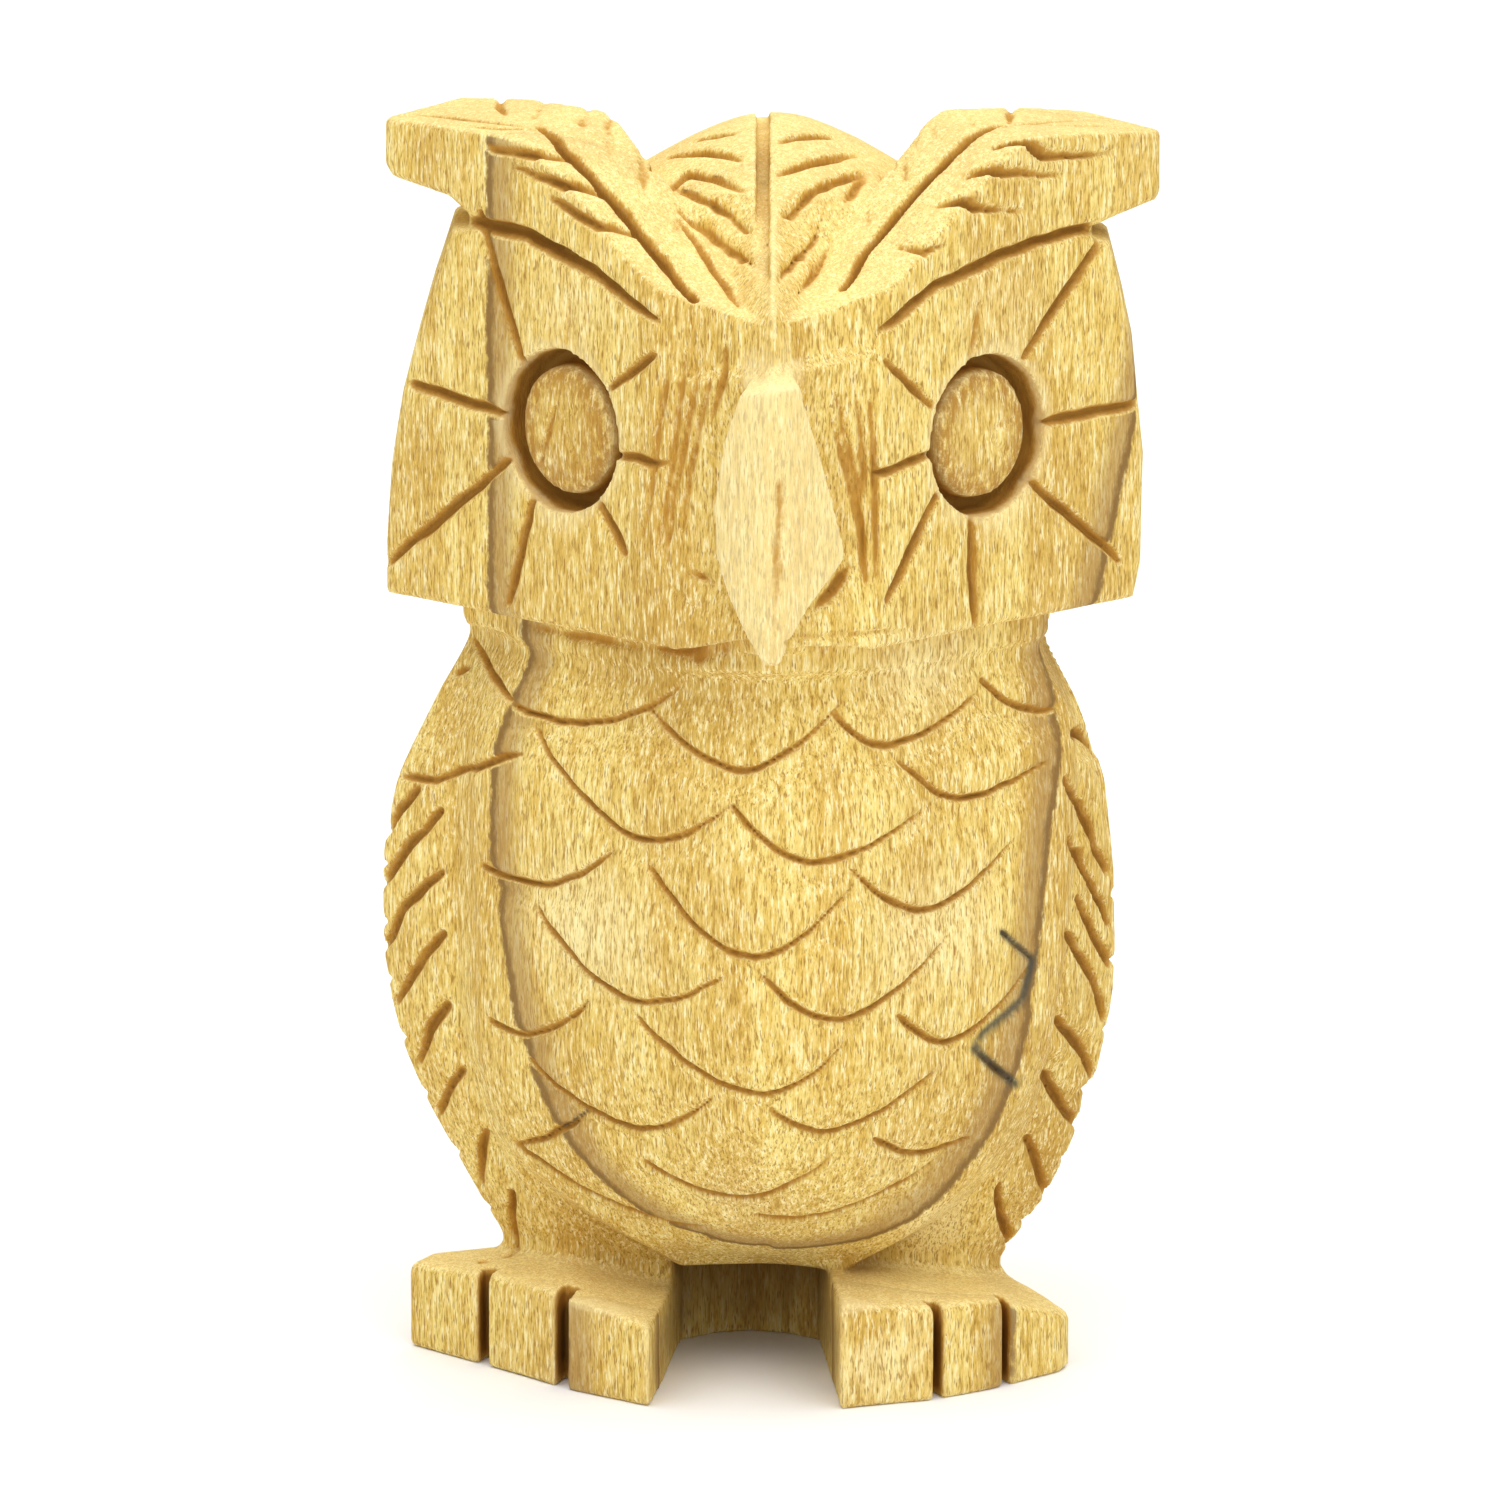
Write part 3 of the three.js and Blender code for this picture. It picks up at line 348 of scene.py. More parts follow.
def core_depths():
    """Y of the front and of the back of the body behind the breast, over x and z."""
    front = np.zeros((COUNT[0], COUNT[2]), np.float32)
    rear = np.zeros_like(front)
    for side in BOTH:
        rows = XS * side >= 0
        x = np.abs(XS[rows])
        for k, z in enumerate(ZS):
            inner, outer = along(WING_INNER[side], z), along(WING_EDGE[side], z)
            depth, leg = along(WING_INNER_DEPTH, z), along(LEG_FRONT, z)
            at = [0, inner * 0.35, inner * 0.7, inner, (inner + outer) / 2, outer, outer + 3]
            y = [leg, leg + (depth - leg) * 0.08, leg + (depth - leg) * 0.42, depth,
                 (depth + WING_EDGE_DEPTH) / 2 - 0.35, WING_EDGE_DEPTH - 0.6, WING_EDGE_DEPTH + 2]
            front[rows, k] = np.interp(x, at, y)
            rear[rows, k] = back_depth(np.minimum(x / outer, 1.1), z)
    return front, rear


def core():
    front, rear = core_depths()
    level = np.maximum(Z - BREAST_TOP, BODY_BOTTOM - Z)
    return both(both(ahead_of(front), -ahead_of(rear), 0.8), level, 0.3)


def chin():
    reach = CORNER - 2.4
    left, right = 24.2, 21.6
    points = [
        (-3, -reach + 5), (3, -reach + 5), (right, right - reach), (right, reach - right), (4, reach - 4),
        (-4, reach - 4), (-left, reach - left), (-left, left - reach),
    ]
    return both(upright(points), np.maximum(Z - HEAD_BOTTOM - 0.6, HEAD_BOTTOM - 1.8 - Z), 0.5)


# Feet, tail and the gap between the feet
FOOT = {
    LEFT: [
        (-29, -0.8), (-23.3, -6.9), (-16.3, -14.6), (-9.6, -20.1), (-5, 3), (-7, 12), (-14, 12),
        (-18, 3.6), (-27.4, 2),
    ],
    RIGHT: [
        (3, 1.6), (5.3, -20.7), (12.6, -18), (17.4, -14.6), (23, -9.2), (23.6, -7.4), (19.5, 0.6),
        (13, 12), (5, 12),
    ],
}
# Top of each foot: (x, height at the toes, height at the back)
FOOT_TOP = {
    LEFT: [(-29, 6.5, 7.2), (-23, 8.2, 7), (-16, 8, 7.5), (-9.4, 6.7, 5.6)],
    RIGHT: [(5, 8.6, 8), (12.6, 7.9, 6.1), (17.4, 8.5, 4.3), (23.4, 5.3, 4)],
}
TAIL_TOP = BELLY_BOTTOM + 2
TAIL = [(-8, 0), (5, 0), (8, 12), (7, 19.4), (1.2, 26), (-1.2, 26), (-7, 19.4), (-9, 12)]
GAP = [
    (-10.2, -26), (-9.6, -20.1), (-7.2, 0.9), (-4.6, 3), (-1.75, 3.8), (1.1, 3), (3.8, 0.9),
    (5.3, -20.7), (5.6, -26),
]


def foot(side):
    at, *tops = zip(*FOOT_TOP[side])
    front, back = [np.interp(XS, at, heights)[:, None] for heights in tops]
    share = np.clip((YS + 24) / 37, 0, 1)[None, :]
    top = (Z - (front * (1 - share) + back * share)[:, :, None]).astype(np.float32)
    return both(both(upright(FOOT[side]), top, 0.9), -Z, 0.5)


def tail():
    return both(both(upright(TAIL), Z - TAIL_TOP, 1.2), -Z, 0.5)


def gap():
    return both(upright(GAP), Z - BELLY_BOTTOM, 0.6)


# Cuts
def window(points, margin):
    """The slices of the voxels that hold these points, with a margin."""
    low = (np.min(points, axis=0) - margin - LOW) / VOXEL
    high = (np.max(points, axis=0) + margin - LOW) / VOXEL
    return tuple(slice(max(int(a), 0), min(int(b) + 2, c)) for a, b, c in zip(low, high, COUNT))


def carve(wood, stations, width, depth, start=0.4, end=None, blunt=0.12):
    """Cuts one carved line into the wood: a V-section along stations of (point, normal).

    start and end are the share of the full width and depth at its two ends.
    """
    points = np.array([p for p, _ in stations], float)
    normals = np.array([n for _, n in stations], float)
    normals /= np.linalg.norm(normals, axis=1)[:, None]
    places = np.linspace(0, 1, len(points))
    ends = np.where(places < 0.5, start, start if end is None else end)
    full = ends + (1 - ends) * np.sin(np.pi * places) ** 0.6
    box = window(points, width + 1.2)
    best = np.full([s.stop - s.start for s in box], 9, np.float32)
    for i in range(len(points) - 1):
        p, q = points[i], points[i + 1]
        run = q - p
        length = np.linalg.norm(run)
        if length < 1e-6:
            continue
        run /= length
        near = window([p, q], width + 1.2)
        x, y, z = [v + w[near] for v, w in zip((X[near[0]], Y[:, near[1]], Z[:, :, near[2]]), WARP)]
        s = np.clip(((x - p[0]) * run[0] + (y - p[1]) * run[1] + (z - p[2]) * run[2]) / length, 0, 1)
        n = normals[i] + normals[i + 1]
        n -= run * (n @ run)
        n /= np.linalg.norm(n)
        wx, wy, wz = [v - c - s * length * r for v, c, r in zip((x, y, z), p, run)]
        up = wx * n[0] + wy * n[1] + wz * n[2]
        side = np.sqrt(np.maximum((wx - up * n[0]) ** 2 + (wy - up * n[1]) ** 2 + (wz - up * n[2]) ** 2, 0))
        share = full[i] + (full[i + 1] - full[i]) * s
        half, down = width / 2 * share, depth * share
        cut = (side - half * (1 + up / down)) * down / np.sqrt(half * half + down * down)
        cut = np.maximum(cut, side - half * 1.5)
        part = tuple(slice(a.start - b.start, a.stop - b.start) for a, b in zip(near, box))
        best[part] = np.minimum(best[part], cut)
    wood[box] = both(wood[box], -best, blunt)


def on_face(side, t, z, lift=0.0):
    x, y = side * t * SQRT_HALF, t * SQRT_HALF - CORNER
    return (x + lift * side * SQRT_HALF, y - lift * SQRT_HALF, z)


def face_normal(side):
    return (side * SQRT_HALF, -SQRT_HALF, 0)


def face_line(side, places, lift=0.0):
    """Stations of a line of (t, z) on a front face."""
    return [(on_face(side, t, z, lift), face_normal(side)) for t, z in places]


def on_top(side, t, u):
    x, y = side * (t - u) * SQRT_HALF, (t + u) * SQRT_HALF - CORNER
    dx, dy = top_slope(np.array(x), np.array(y))
    return (x, y, float(top_height(np.array(x), np.array(y)))), (-float(dx), -float(dy), 1)


def index(axis, value):
    return int(round((value - LOW[axis]) / VOXEL))


def outward(surface, i, j, k, step=3):
    return (
        surface[i + step, j, k] - surface[i - step, j, k],
        surface[i, j + step, k] - surface[i, j - step, k],
        surface[i, j, k + step] - surface[i, j, k - step],
    )


def from_above(surface, x, y):
    """The first wood met from above at x and y, with its outward normal."""
    i, j = index(0, x), index(1, y)
    k = COUNT[2] - 1 - int(np.argmax(surface[i, j, ::-1] < 0))
    inside, outside = surface[i, j, k], surface[i, j, k + 1]
    return (x, y, float(ZS[k] + VOXEL * inside / (inside - outside))), outward(surface, i, j, k)


def from_front(surface, x, z):
    """The first wood met from the front at x and z, with its outward normal."""
    i, k = index(0, x), index(2, z)
    column = surface[i, :, k]
    if column.min() > 0:
        return (x, WING_EDGE_DEPTH, z), (math.copysign(1, x), -0.6, 0)
    j = int(np.argmax(column < 0))
    inside, outside = column[j], column[j - 1]
    return (x, float(YS[j] - VOXEL * inside / (inside - outside)), z), outward(surface, i, j, k)


def traced(find, surface, line, step=1.0):
    """Stations of a line drawn on the wood through these points."""
    places = [line[0]]
    for a, b in zip(line, line[1:]):
        places += stretch(a, b, max(1, round(math.dist(a, b) / step)))[1:]
    return [find(surface, *place) for place in places]


def carve_drawn(wood, surface, find, lines, *size, blunt=0.12):
    """Carves each of these lines where find meets the surface, the wood before its cuts."""
    for line in lines:
        carve(wood, traced(find, surface, line), *size, blunt=blunt)


def on_breast(x, z, step=0.5):
    xs = np.array([x, x + step, x - step, x, x])
    zs = np.array([z, z, z, z + step, z - step])
    d = breast_depth(xs, zs)
    normal = ((d[1] - d[2]) / (2 * step), -1, (d[3] - d[4]) / (2 * step))
    return (x, float(d[0]), z), normal


def stretch(start, end, steps):
    return [np.array(start) + (np.array(end) - np.array(start)) * i / steps for i in range(steps + 1)]


EYES = {LEFT: (23.4, 77.0), RIGHT: (23.7, 76.6)}
EYE_DISC = [(0, 0.3), (3, 0.42), (4.4, 0.6), (4.9, 0.85), (6, 1.4), (6.36, 0), (6.6, -1), (9, -6)]
EYE_RING = [
    (0, -9), (4.85, -1), (4.95, 1.0), (5.3, 2.8), (6, 2.9), (6.2, 2.4), (6.4, 0), (6.6, -1), (9, -6),
]
# Lines round each eye, the last one faint: angle at its start and end, radius at its start and end
EYE_RAYS = {
    LEFT: [
        (47.6, 60.6, 6.3, 18.4), (5, 5, 6.3, 16.8), (-28, -34, 6.7, 23.4), (-63, -68, 6.9, 15.6),
        (-130, -130, 7.1, 11.3), (-170, -175, 6.4, 12.4), (143, 144.5, 7.1, 12.6), (95, 96, 6.7, 10.5),
    ],
    RIGHT: [
        (54.6, 47.4, 7.3, 18.9), (2.7, 0.5, 6.5, 17.4), (-41.6, -38.6, 6.6, 19.3),
        (-106.5, -95, 7, 14.8), (-145.7, -133.9, 7.3, 15.9), (-175, -173, 6.9, 12.7),
        (153, 147, 7.2, 13.5), (108, 94.6, 6.5, 10.5),
    ],
}
EYE_RAY = (1.05, 0.95)  # width, depth
FAINT_RAY = (0.7, 0.35)
# Marks on the discs of the eyes, from their centres: (t, z) to (t, z), width, depth
IRIS_MARKS = {
    LEFT: [
        (0.8, 1.9, 2.5, -2.8, 0.8, 0.7), (-0.5, -0.5, -2.6, -3.9, 0.8, 0.5),
        (0.4, 1, -2.2, 2.2, 0.6, 0.25), (-2.6, -1.2, -4.7, -1.3, 0.8, 0.5),
        (2.8, 3.3, 3.2, 1.4, 0.9, 0.3), (3.4, 0.2, 3.2, -1.6, 0.9, 0.25),
    ],
    RIGHT: [
        (-1.4, 4.3, -1.5, 1.5, 0.6, 0.4), (1.1, 0.3, 4.8, 0.95, 1, 0.45),
        (0.2, -0.3, 3.7, -2.5, 0.9, 0.35), (-3.7, 3.1, -3.1, 1.9, 0.8, 0.5),
        (-3.2, -2.3, -2.2, -3.6, 0.9, 0.35), (1.4, 2.6, 1.6, -0.2, 0.5, 0.2),
    ],
}


def round_cut(wood, side, profile, unevenness_share=0.0):
    """Cuts a turned hollow round the eye: profile gives its depth by radius."""
    t0, z0 = EYES[side]
    centre = np.array(on_face(side, t0, z0))
    box = window([centre - 7.5, centre + 7.5], 0)
    x, y, z = X[box[0]], Y[:, box[1]], Z[:, :, box[2]]
    t, u = face_place(side, x, y)
    radius = np.hypot(t + 0.5 * WARP[0][box] - t0, z - z0 + 0.5 * WARP[2][box])
    floor = straight(profile, radius) + unevenness_share * UNEVEN[box]
    wood[box] = both(wood[box], (floor - u) * 0.7, 0.15)


def eyes(wood):
    for side in BOTH:
        t0, z0 = EYES[side]
        round_cut(wood, side, EYE_RING)
        for ta, za, tb, zb, width, depth in IRIS_MARKS[side]:
            places = stretch((t0 + ta, z0 + za), (t0 + tb, z0 + zb), 3)
            carve(wood, face_line(side, places, -0.3), width, depth, 0.7)
        for k, (a0, a1, start, end) in enumerate(EYE_RAYS[side], 1):
            ends = [
                (t0 + radius * math.cos(math.radians(angle)), z0 + radius * math.sin(math.radians(angle)))
                for angle, radius in ((a0, start - 0.3), (a1, end))
            ]
            size = FAINT_RAY if k == len(EYE_RAYS[side]) else EYE_RAY
            carve(wood, face_line(side, stretch(*ends, 4)), *size, 0.75)


BROW_LINE = {
    LEFT: [
        (36, 92.3), (34.9, 92.2), (29, 92.1), (27, 91.9), (24.1, 91.2), (19.8, 90.05), (16.6, 88.6),
        (12.8, 87),
    ],
    RIGHT: [
        (37.8, 90.6), (36.8, 90.9), (35.2, 91.6), (32, 91.55), (28.9, 91.2), (24.2, 90.4), (21, 89.7),
        (17.9, 89), (13.6, 87.1), (11.1, 85.9), (9.3, 84.7), (7.6, 83.5),
    ],
}
BROW_LINE_SIZE = {LEFT: (1.35, 1.4), RIGHT: (1.15, 1.1)}
# Lines across the top of the head: lists of (x, y)
QUILLS = {
    LEFT: [
        (-18.2, -6.9), (-16.1, -11), (-13.5, -13.5), (-10.9, -15.7), (-8.3, -18.5), (-6.5, -21.4),
        (-6, -22.1),
    ],
    RIGHT: [(17.8, -6), (15.8, -8.1), (13.1, -11.1), (9.9, -13.9), (7.2, -16.6), (5.2, -20.4)],
}
QUILL_WIDTH = {LEFT: 1.4, RIGHT: 1.15}
TUFT_LINES = [
    [(-28, 0.5), (-24.2, -2.4), (-19.3, -6.7)], [(-24.1, -5.1), (-20.8, -7.2), (-18.6, -7.7)],
    [(17.8, -7), (21.5, -2.5), (25.1, 1.5)], [(20.5, -4.6), (25.8, -1.1), (28.6, -1.3)],
]
NOTCHES = [[(-20.9, -2), (-21.5, 2.5), (-21, 7)], [(18.5, -5.4), (18.7, -0.8), (18.7, 4)]]
BROW_SCORES = [
    [(-14.8, -6.1), (-14.6, -2), (-14, 2.5)], [(-12.7, -10), (-12.8, -5.4), (-12.5, -1.5)],
    [(-10.3, -11.9), (-10.3, -9.8), (-10, -6)], [(-18.8, -4.3), (-17.9, 2.4), (-17.4, 6)],
    [(11.3, -8.2), (11.2, -5), (11, -1.5)], [(9.6, -9.6), (9.4, -6.5), (9.2, -4)],
]
CREST_LINES = [
    [(-6.6, 0), (-3.1, -2.8)], [(-8.4, -1), (-6, -3.6), (-4, -6), (-2.3, -8.2)],
    [(-9.6, -9.1), (-7, -6.4), (-4.4, -9.6), (-2.1, -12.4)],
    [(-8, -7.4), (-5.7, -11.2), (-3.4, -13.2), (-1.6, -15.4)],
    [(-7.5, -11.9), (-5, -13.4), (-2.7, -16.1), (-1.4, -19.4)],
    [(-7.4, -12.6), (-6.2, -14.4), (-4.7, -16.4), (-3.4, -19.7), (-2.4, -22.9)],
    [(0.3, -5.8), (2.4, -4), (5.2, -1.2)], [(0.2, -10.8), (2.4, -8.8), (4.9, -6), (7, -3.1)],
    [(0.7, -15.3), (2.7, -12.5), (5.3, -8.9), (7.6, -5.6)], [(5.8, -11.5), (7.3, -6.6)],
]
FINE_CREST_LINES = [[(0.4, -23.3), (2, -17.6), (4, -13)], [(2, -21.6), (3.3, -17), (4.5, -14.5)]]
BACK_BARBS = [
    [(side * x0, y0), (side * x1, y1)] for side in BOTH
    for x0, y0, x1, y1 in ((1.5, 10, 8, 5), (1.5, 15.5, 8, 10.5), (1.5, 21, 7, 16.5))
]
INNER_BARBS = {
    LEFT: [(29.7, 8.3, 27, 6.2), (26.6, 9, 23.8, 6.2), (22.2, 8.3, 19.6, 5.4), (18.5, 8.1, 15.8, 5.7)],
    RIGHT: [(31.1, 9.2, 28.3, 6.2), (26.8, 9, 24.4, 7), (23.4, 8.8, 20.8, 6.4), (18.6, 8.2, 16, 5.8)],
}
OUTER_BARBS = {
    LEFT: [(31.4, 98.3, 24.2, 2.3), (28.5, 97.2, 20.7, 2.2), (24.4, 95.1, 17, 2.4)],
    RIGHT: [(37.6, 97.1, 26, 1.9), (31.7, 96.2, 22.6, 1.8), (27.4, 93.9, 19.8, 2), (18.8, 92.3, 15.9, 2.2)],
}
BARB_SIZE = {LEFT: (0.9, 0.8), RIGHT: (0.68, 0.7)}
MIDDLE_CUT = [(-31, 95), (-24, 91), (-22, 89.7), (-12, 94.6), (-1, 98.3), (12, 98)]
MIDDLE_CUT_X = -0.75
MIDDLE_CUT_BACK = 12
KERF = 1.0


def brows(wood, uncut):
    for side in BOTH:
        carve(wood, face_line(side, BROW_LINE[side]), *BROW_LINE_SIZE[side], 0.8, 0.5)
        for t0, u0, t1, u1 in INNER_BARBS[side]:
            carve(wood, [on_top(side, *p) for p in stretch((t0, u0), (t1, u1), 3)], 0.8, 0.3, 0.4)
        slanting = (side * SQRT_HALF, -SQRT_HALF, 1)
        for t0, z0, t1, u1 in OUTER_BARBS[side]:
            middle = t1 + (t0 - t1) * 0.3
            end, normal = on_top(side, t1, u1)
            over = min(z0 + 0.8, on_top(side, middle, 0.5)[0][2] - 0.5)
            line = [
                (on_face(side, t0, z0), face_normal(side)), (on_face(side, middle, over, -0.2), slanting),
                (end, normal),
            ]
            carve(wood, line, *BARB_SIZE[side], 0.45)
    for side in BOTH:
        carve_drawn(wood, uncut, from_above, [QUILLS[side]], QUILL_WIDTH[side], 1.6, 0.5, 0.7)
    for lines, *size in (
        (TUFT_LINES, 0.7, 0.7, 0.5), (NOTCHES, 0.9, 0.6, 0.3, 0.8), (BROW_SCORES, 0.8, 0.28, 0.4),
        (CREST_LINES + BACK_BARBS, 1.05, 0.8, 0.4), (FINE_CREST_LINES, 0.65, 0.7, 0.4),
    ):
        carve_drawn(wood, uncut, from_above, lines, *size)


def middle_cut(wood):
    """The saw cut down the middle of the crest."""
    bottom = np.interp(YS, *zip(*MIDDLE_CUT))[None, :, None]
    box = (window([(-3, 0, 0), (1.5, 0, 0)], 0)[0], slice(None), slice(None))
    across = np.abs(X[box[0]] + 0.5 * WARP[0][box] - MIDDLE_CUT_X) - KERF / 2
    saw = np.maximum(across, np.maximum((bottom - Z) * 0.8, Y - MIDDLE_CUT_BACK))
    wood[box] = both(wood[box], -saw.astype(np.float32), 0.15)


# Tool marks beside the beak and a hollow streak down its ridge: lists of (x, z)
FLUTES = [
    [(-5.5, 85.3), (-6.1, 81.7), (-6.7, 78.3), (-7.2, 75.6), (-7.9, 71.9), (-8.3, 67.9)],
    [(-4.6, 84), (-5.4, 80.6), (-6.1, 76.7), (-7, 71)], [(-3.5, 85.3), (-3.9, 82.6), (-4.9, 79.2)],
    [(-6.7, 84.6), (-7.7, 76.5), (-8.8, 69.2)], [(-8.1, 83.4), (-8.6, 79.8), (-9.2, 75.7), (-10, 70.2)],
    [(4.8, 82.1), (5.5, 78.7), (6.4, 74.6), (6.9, 69.3), (7.3, 66.3)],
    [(6.3, 83), (6.7, 78.6), (6.9, 73.6)], [(4.4, 80.5), (5.5, 76), (6.5, 71)],
    [(-6.4, 67.8), (-4.6, 67)], [(7.4, 81), (7.8, 74), (8.1, 66.5)],
]
RIDGE_STREAK = [(0.5, 77.5), (0.6, 73.5), (0.4, 70), (0.35, 67), (0.2, 64)]
# Grooves cut where shadow lines fall round the beak and under the edge of the face; the cut colour paints
# them dark as painted shade: (points, width, depth)
SHADOW_GROOVES = [
    ([(5.9, 68.2), (4.7, 66.4), (3.3, 65)], 1.2, 0.9),
    ([(-9.5, 60.7), (-6.7, 60.8), (-2.9, 62.4)], 1.2, 0.8),
    ([(-20, 60.6), (-16.6, 60.4), (-11.6, 60.4), (-8, 60.6)], 0.9, 0.4),
    ([(0.8, 63.3), (6.3, 62.8), (11.1, 62.5)], 0.7, 0.35),
    ([(-8.3, 66.6), (-6.6, 65.4), (-4.6, 64.6)], 0.8, 0.3),
]


def beside_beak(wood, uncut):
    carve_drawn(wood, uncut, from_front, FLUTES, 0.85, 0.6, 0.5)
    carve_drawn(wood, uncut, from_front, [RIDGE_STREAK], 1.3, 0.45, 0.3, blunt=0.3)
    for line, width, depth in SHADOW_GROOVES:
        carve_drawn(wood, uncut, from_front, [line], width, depth, 0.4)


# Edge of each breast feather seen from the front: (left x, z, lowest x, z, right x, z)
FEATHERS = [
    (-20.1, 54.1, -16.5, 53.7, -6.9, 58), (-9.8, 56.1, -2.8, 51.9, 5.8, 57),
    (5, 55.9, 9.1, 53.1, 16.3, 55.9), (16.6, 56.7, 21.9, 53.5, 22.6, 53.6),
    (-18.6, 52.6, -10.3, 45.6, -3.5, 49.2),
    (-3.2, 49.2, 3.7, 44.6, 12.4, 48.1), (10.1, 51.9, 15.6, 47.9, 21.9, 49.7),
    (-22.9, 40.8, -19, 40.3, -11.8, 45.3), (-9.8, 43.5, -1.8, 37.2, 6.7, 42.9),
    (6.3, 43.9, 12.6, 39.7, 19.1, 43.8), (-18.6, 38.3, -11, 32.6, -3.1, 36.3),
    (-22.3, 28.6, -20.1, 27.8, -14.3, 32.3), (-0.9, 35.7, 5.2, 31.9, 14, 37.4),
    (10.1, 31.5, 14.1, 28.6, 20.6, 33.7), (-11.1, 31.6, -0.7, 26, 7, 31.4),
    (-19.3, 25.9, -10.8, 21.7, -3.9, 26.6), (-0.6, 25.2, 4.1, 22.5, 13.5, 26.9),
    (8.3, 21.3, 12, 19.2, 15.7, 20), (-10, 18.9, -2.9, 16.5, 5.8, 21.2),
    (-20.3, 18.2, -7, 13.2, -4.9, 13.4), (-1.2, 14.9, 2.4, 14.5, 14.5, 19.3),
]
# Straight creases in the breast and shoulder: lists of (x, z)
CREASES = [
    [(18, 36.7), (20.5, 33.9)], [(15.9, 27.6), (17.5, 25.7), (19.2, 23.9)],
    [(-20.7, 18.1), (-18.4, 19.2), (-15.9, 21.1), (-14.5, 22.6)],
    [(-20.7, 18.1), (-18.7, 17.2), (-16.4, 16)],
]
STAIN = [(20.5, 33.9), (20.1, 32.2), (19.7, 30.8), (18.4, 29.9), (16.6, 28.8), (15.9, 27.6)]


def feather_edge(x0, z0, x1, z1, x2, z2, below=0.0, steps=14):
    stations = []
    for x in np.linspace(x0, x2, steps + 1):
        share, rise = ((x1 - x) / (x1 - x0), z0 - z1) if x < x1 else ((x - x1) / (x2 - x1), z2 - z1)
        stations.append(on_breast(x, z1 + rise * share ** 1.8 - below))
    return stations


def feathers(wood):
    for feather in FEATHERS:
        carve(wood, feather_edge(*feather), 0.9, 1.0, 0.8, 0.35)
    for crease in CREASES:
        carve(wood, [on_breast(x, z) for x, z in crease], 0.75, 0.9, 0.6)
    carve(wood, [on_breast(x, z) for x, z in STAIN], 0.6, 0.35, 0.6)


# Wing barbs, each from its end at the wing's edge inwards: lists of (x, z)
WING_CUTS = {
    LEFT: [
        [(-30.2, 42.6), (-29.1, 44.4), (-28.2, 45.7)],
        [(-30.6, 38.3), (-29.4, 40.2), (-27.8, 42.4), (-26.3, 44.3)],
        [(-30.4, 33.5), (-29.4, 35.7), (-28.4, 37), (-26.2, 39.2)],
        [(-29.5, 29.1), (-28.6, 30.8), (-27.4, 32.7), (-26.2, 34.3)],
        [(-27.9, 24.4), (-27.3, 26.3), (-26.6, 27.4), (-25.9, 28.5)],
        [(-26.2, 20.2), (-25.6, 21.8), (-24.7, 23)], [(-23.3, 14.6), (-23.2, 16.4), (-22.8, 18)],
        [(-20.7, 9.2), (-20.8, 11.1), (-20.9, 12.8)],
    ],
    RIGHT: [
        [(25, 49.4), (23.9, 51.1)], [(26.1, 40.1), (25.3, 42.3), (24.4, 44.9), (23.2, 47.6)],
        [(26.3, 35.9), (25.6, 37.7), (24.6, 39.9), (23.5, 42.7)],
        [(26.3, 32.5), (24.9, 35.8), (24.3, 37.4)],
        [(26.2, 28.1), (25.6, 30.4), (24.4, 32.9), (23.2, 35.2)],
        [(25.7, 22.3), (25.1, 23.8), (24, 26), (22.8, 27.7)],
        [(24.5, 18.1), (23.7, 19.1), (22.3, 21.9), (21.4, 24)], [(21.8, 13.2), (21.2, 15.6), (20.4, 17.5)],
        [(19.1, 8.6), (18.4, 10.8), (18.1, 13.6)],
    ],
}
WING_CUT_SIZE = {LEFT: (1.1, 1.0), RIGHT: (1.25, 1.2)}
SHINGLE = 1.1
SHOULDER_CUTS = [
    [(-29.6, 46.4), (-26.7, 46.7), (-24.5, 47.8), (-22.5, 49.3), (-21.1, 50), (-19.4, 50.8)],
    [(-23.8, 57.8), (-22.8, 56.5), (-22, 55.6), (-21.2, 54.9), (-20.2, 54.4)],
    [(-25.4, 54.6), (-23.9, 55.6)],
]
LEG_VALLEY = [(-23.1, 19.3), (-22.1, 16.3), (-20.5, 13.4), (-19.3, 11.4)]
BACK_BARBS_AT = {LEFT: [40.5 - 4.7 * i for i in range(8)], RIGHT: [38 - 5.4 * i for i in range(6)]}


def outwards(line, reach=1.3):
    """The line with its first end drawn out by reach."""
    (x0, z0), (x1, z1) = line[0], line[1]
    away = reach / math.hypot(x0 - x1, z0 - z1)
    return [(x0 + (x0 - x1) * away, z0 + (z0 - z1) * away)] + line


def hollows(wood):
    """Shallow hollows under the feathers, down the wings and a leg, and by the right wing's barbs."""
    whole = wood.copy()
    for feather in FEATHERS:
        carve(wood, feather_edge(*feather, below=1.0), 3.6, 0.4, 0.3, blunt=0.3)
    for side in BOTH:
        valley = [(side * (along(WING_INNER[side], z) + 1.2), z) for z in range(14, 52, 4)]
        carve_drawn(wood, whole, from_front, [valley], 4.4, 0.9, 0.3, blunt=0.5)
    carve_drawn(wood, whole, from_front, [LEG_VALLEY], 3.0, 0.7, 0.3, blunt=0.4)
    for line in WING_CUTS[RIGHT]:
        stations = traced(from_front, whole, outwards(line))
        lifted = [((x + 0.85 * SHINGLE, y, z + 0.5 * SHINGLE), n) for (x, y, z), n in stations]
        carve(wood, lifted, 3.8, 0.75, 0.6, blunt=0.3)


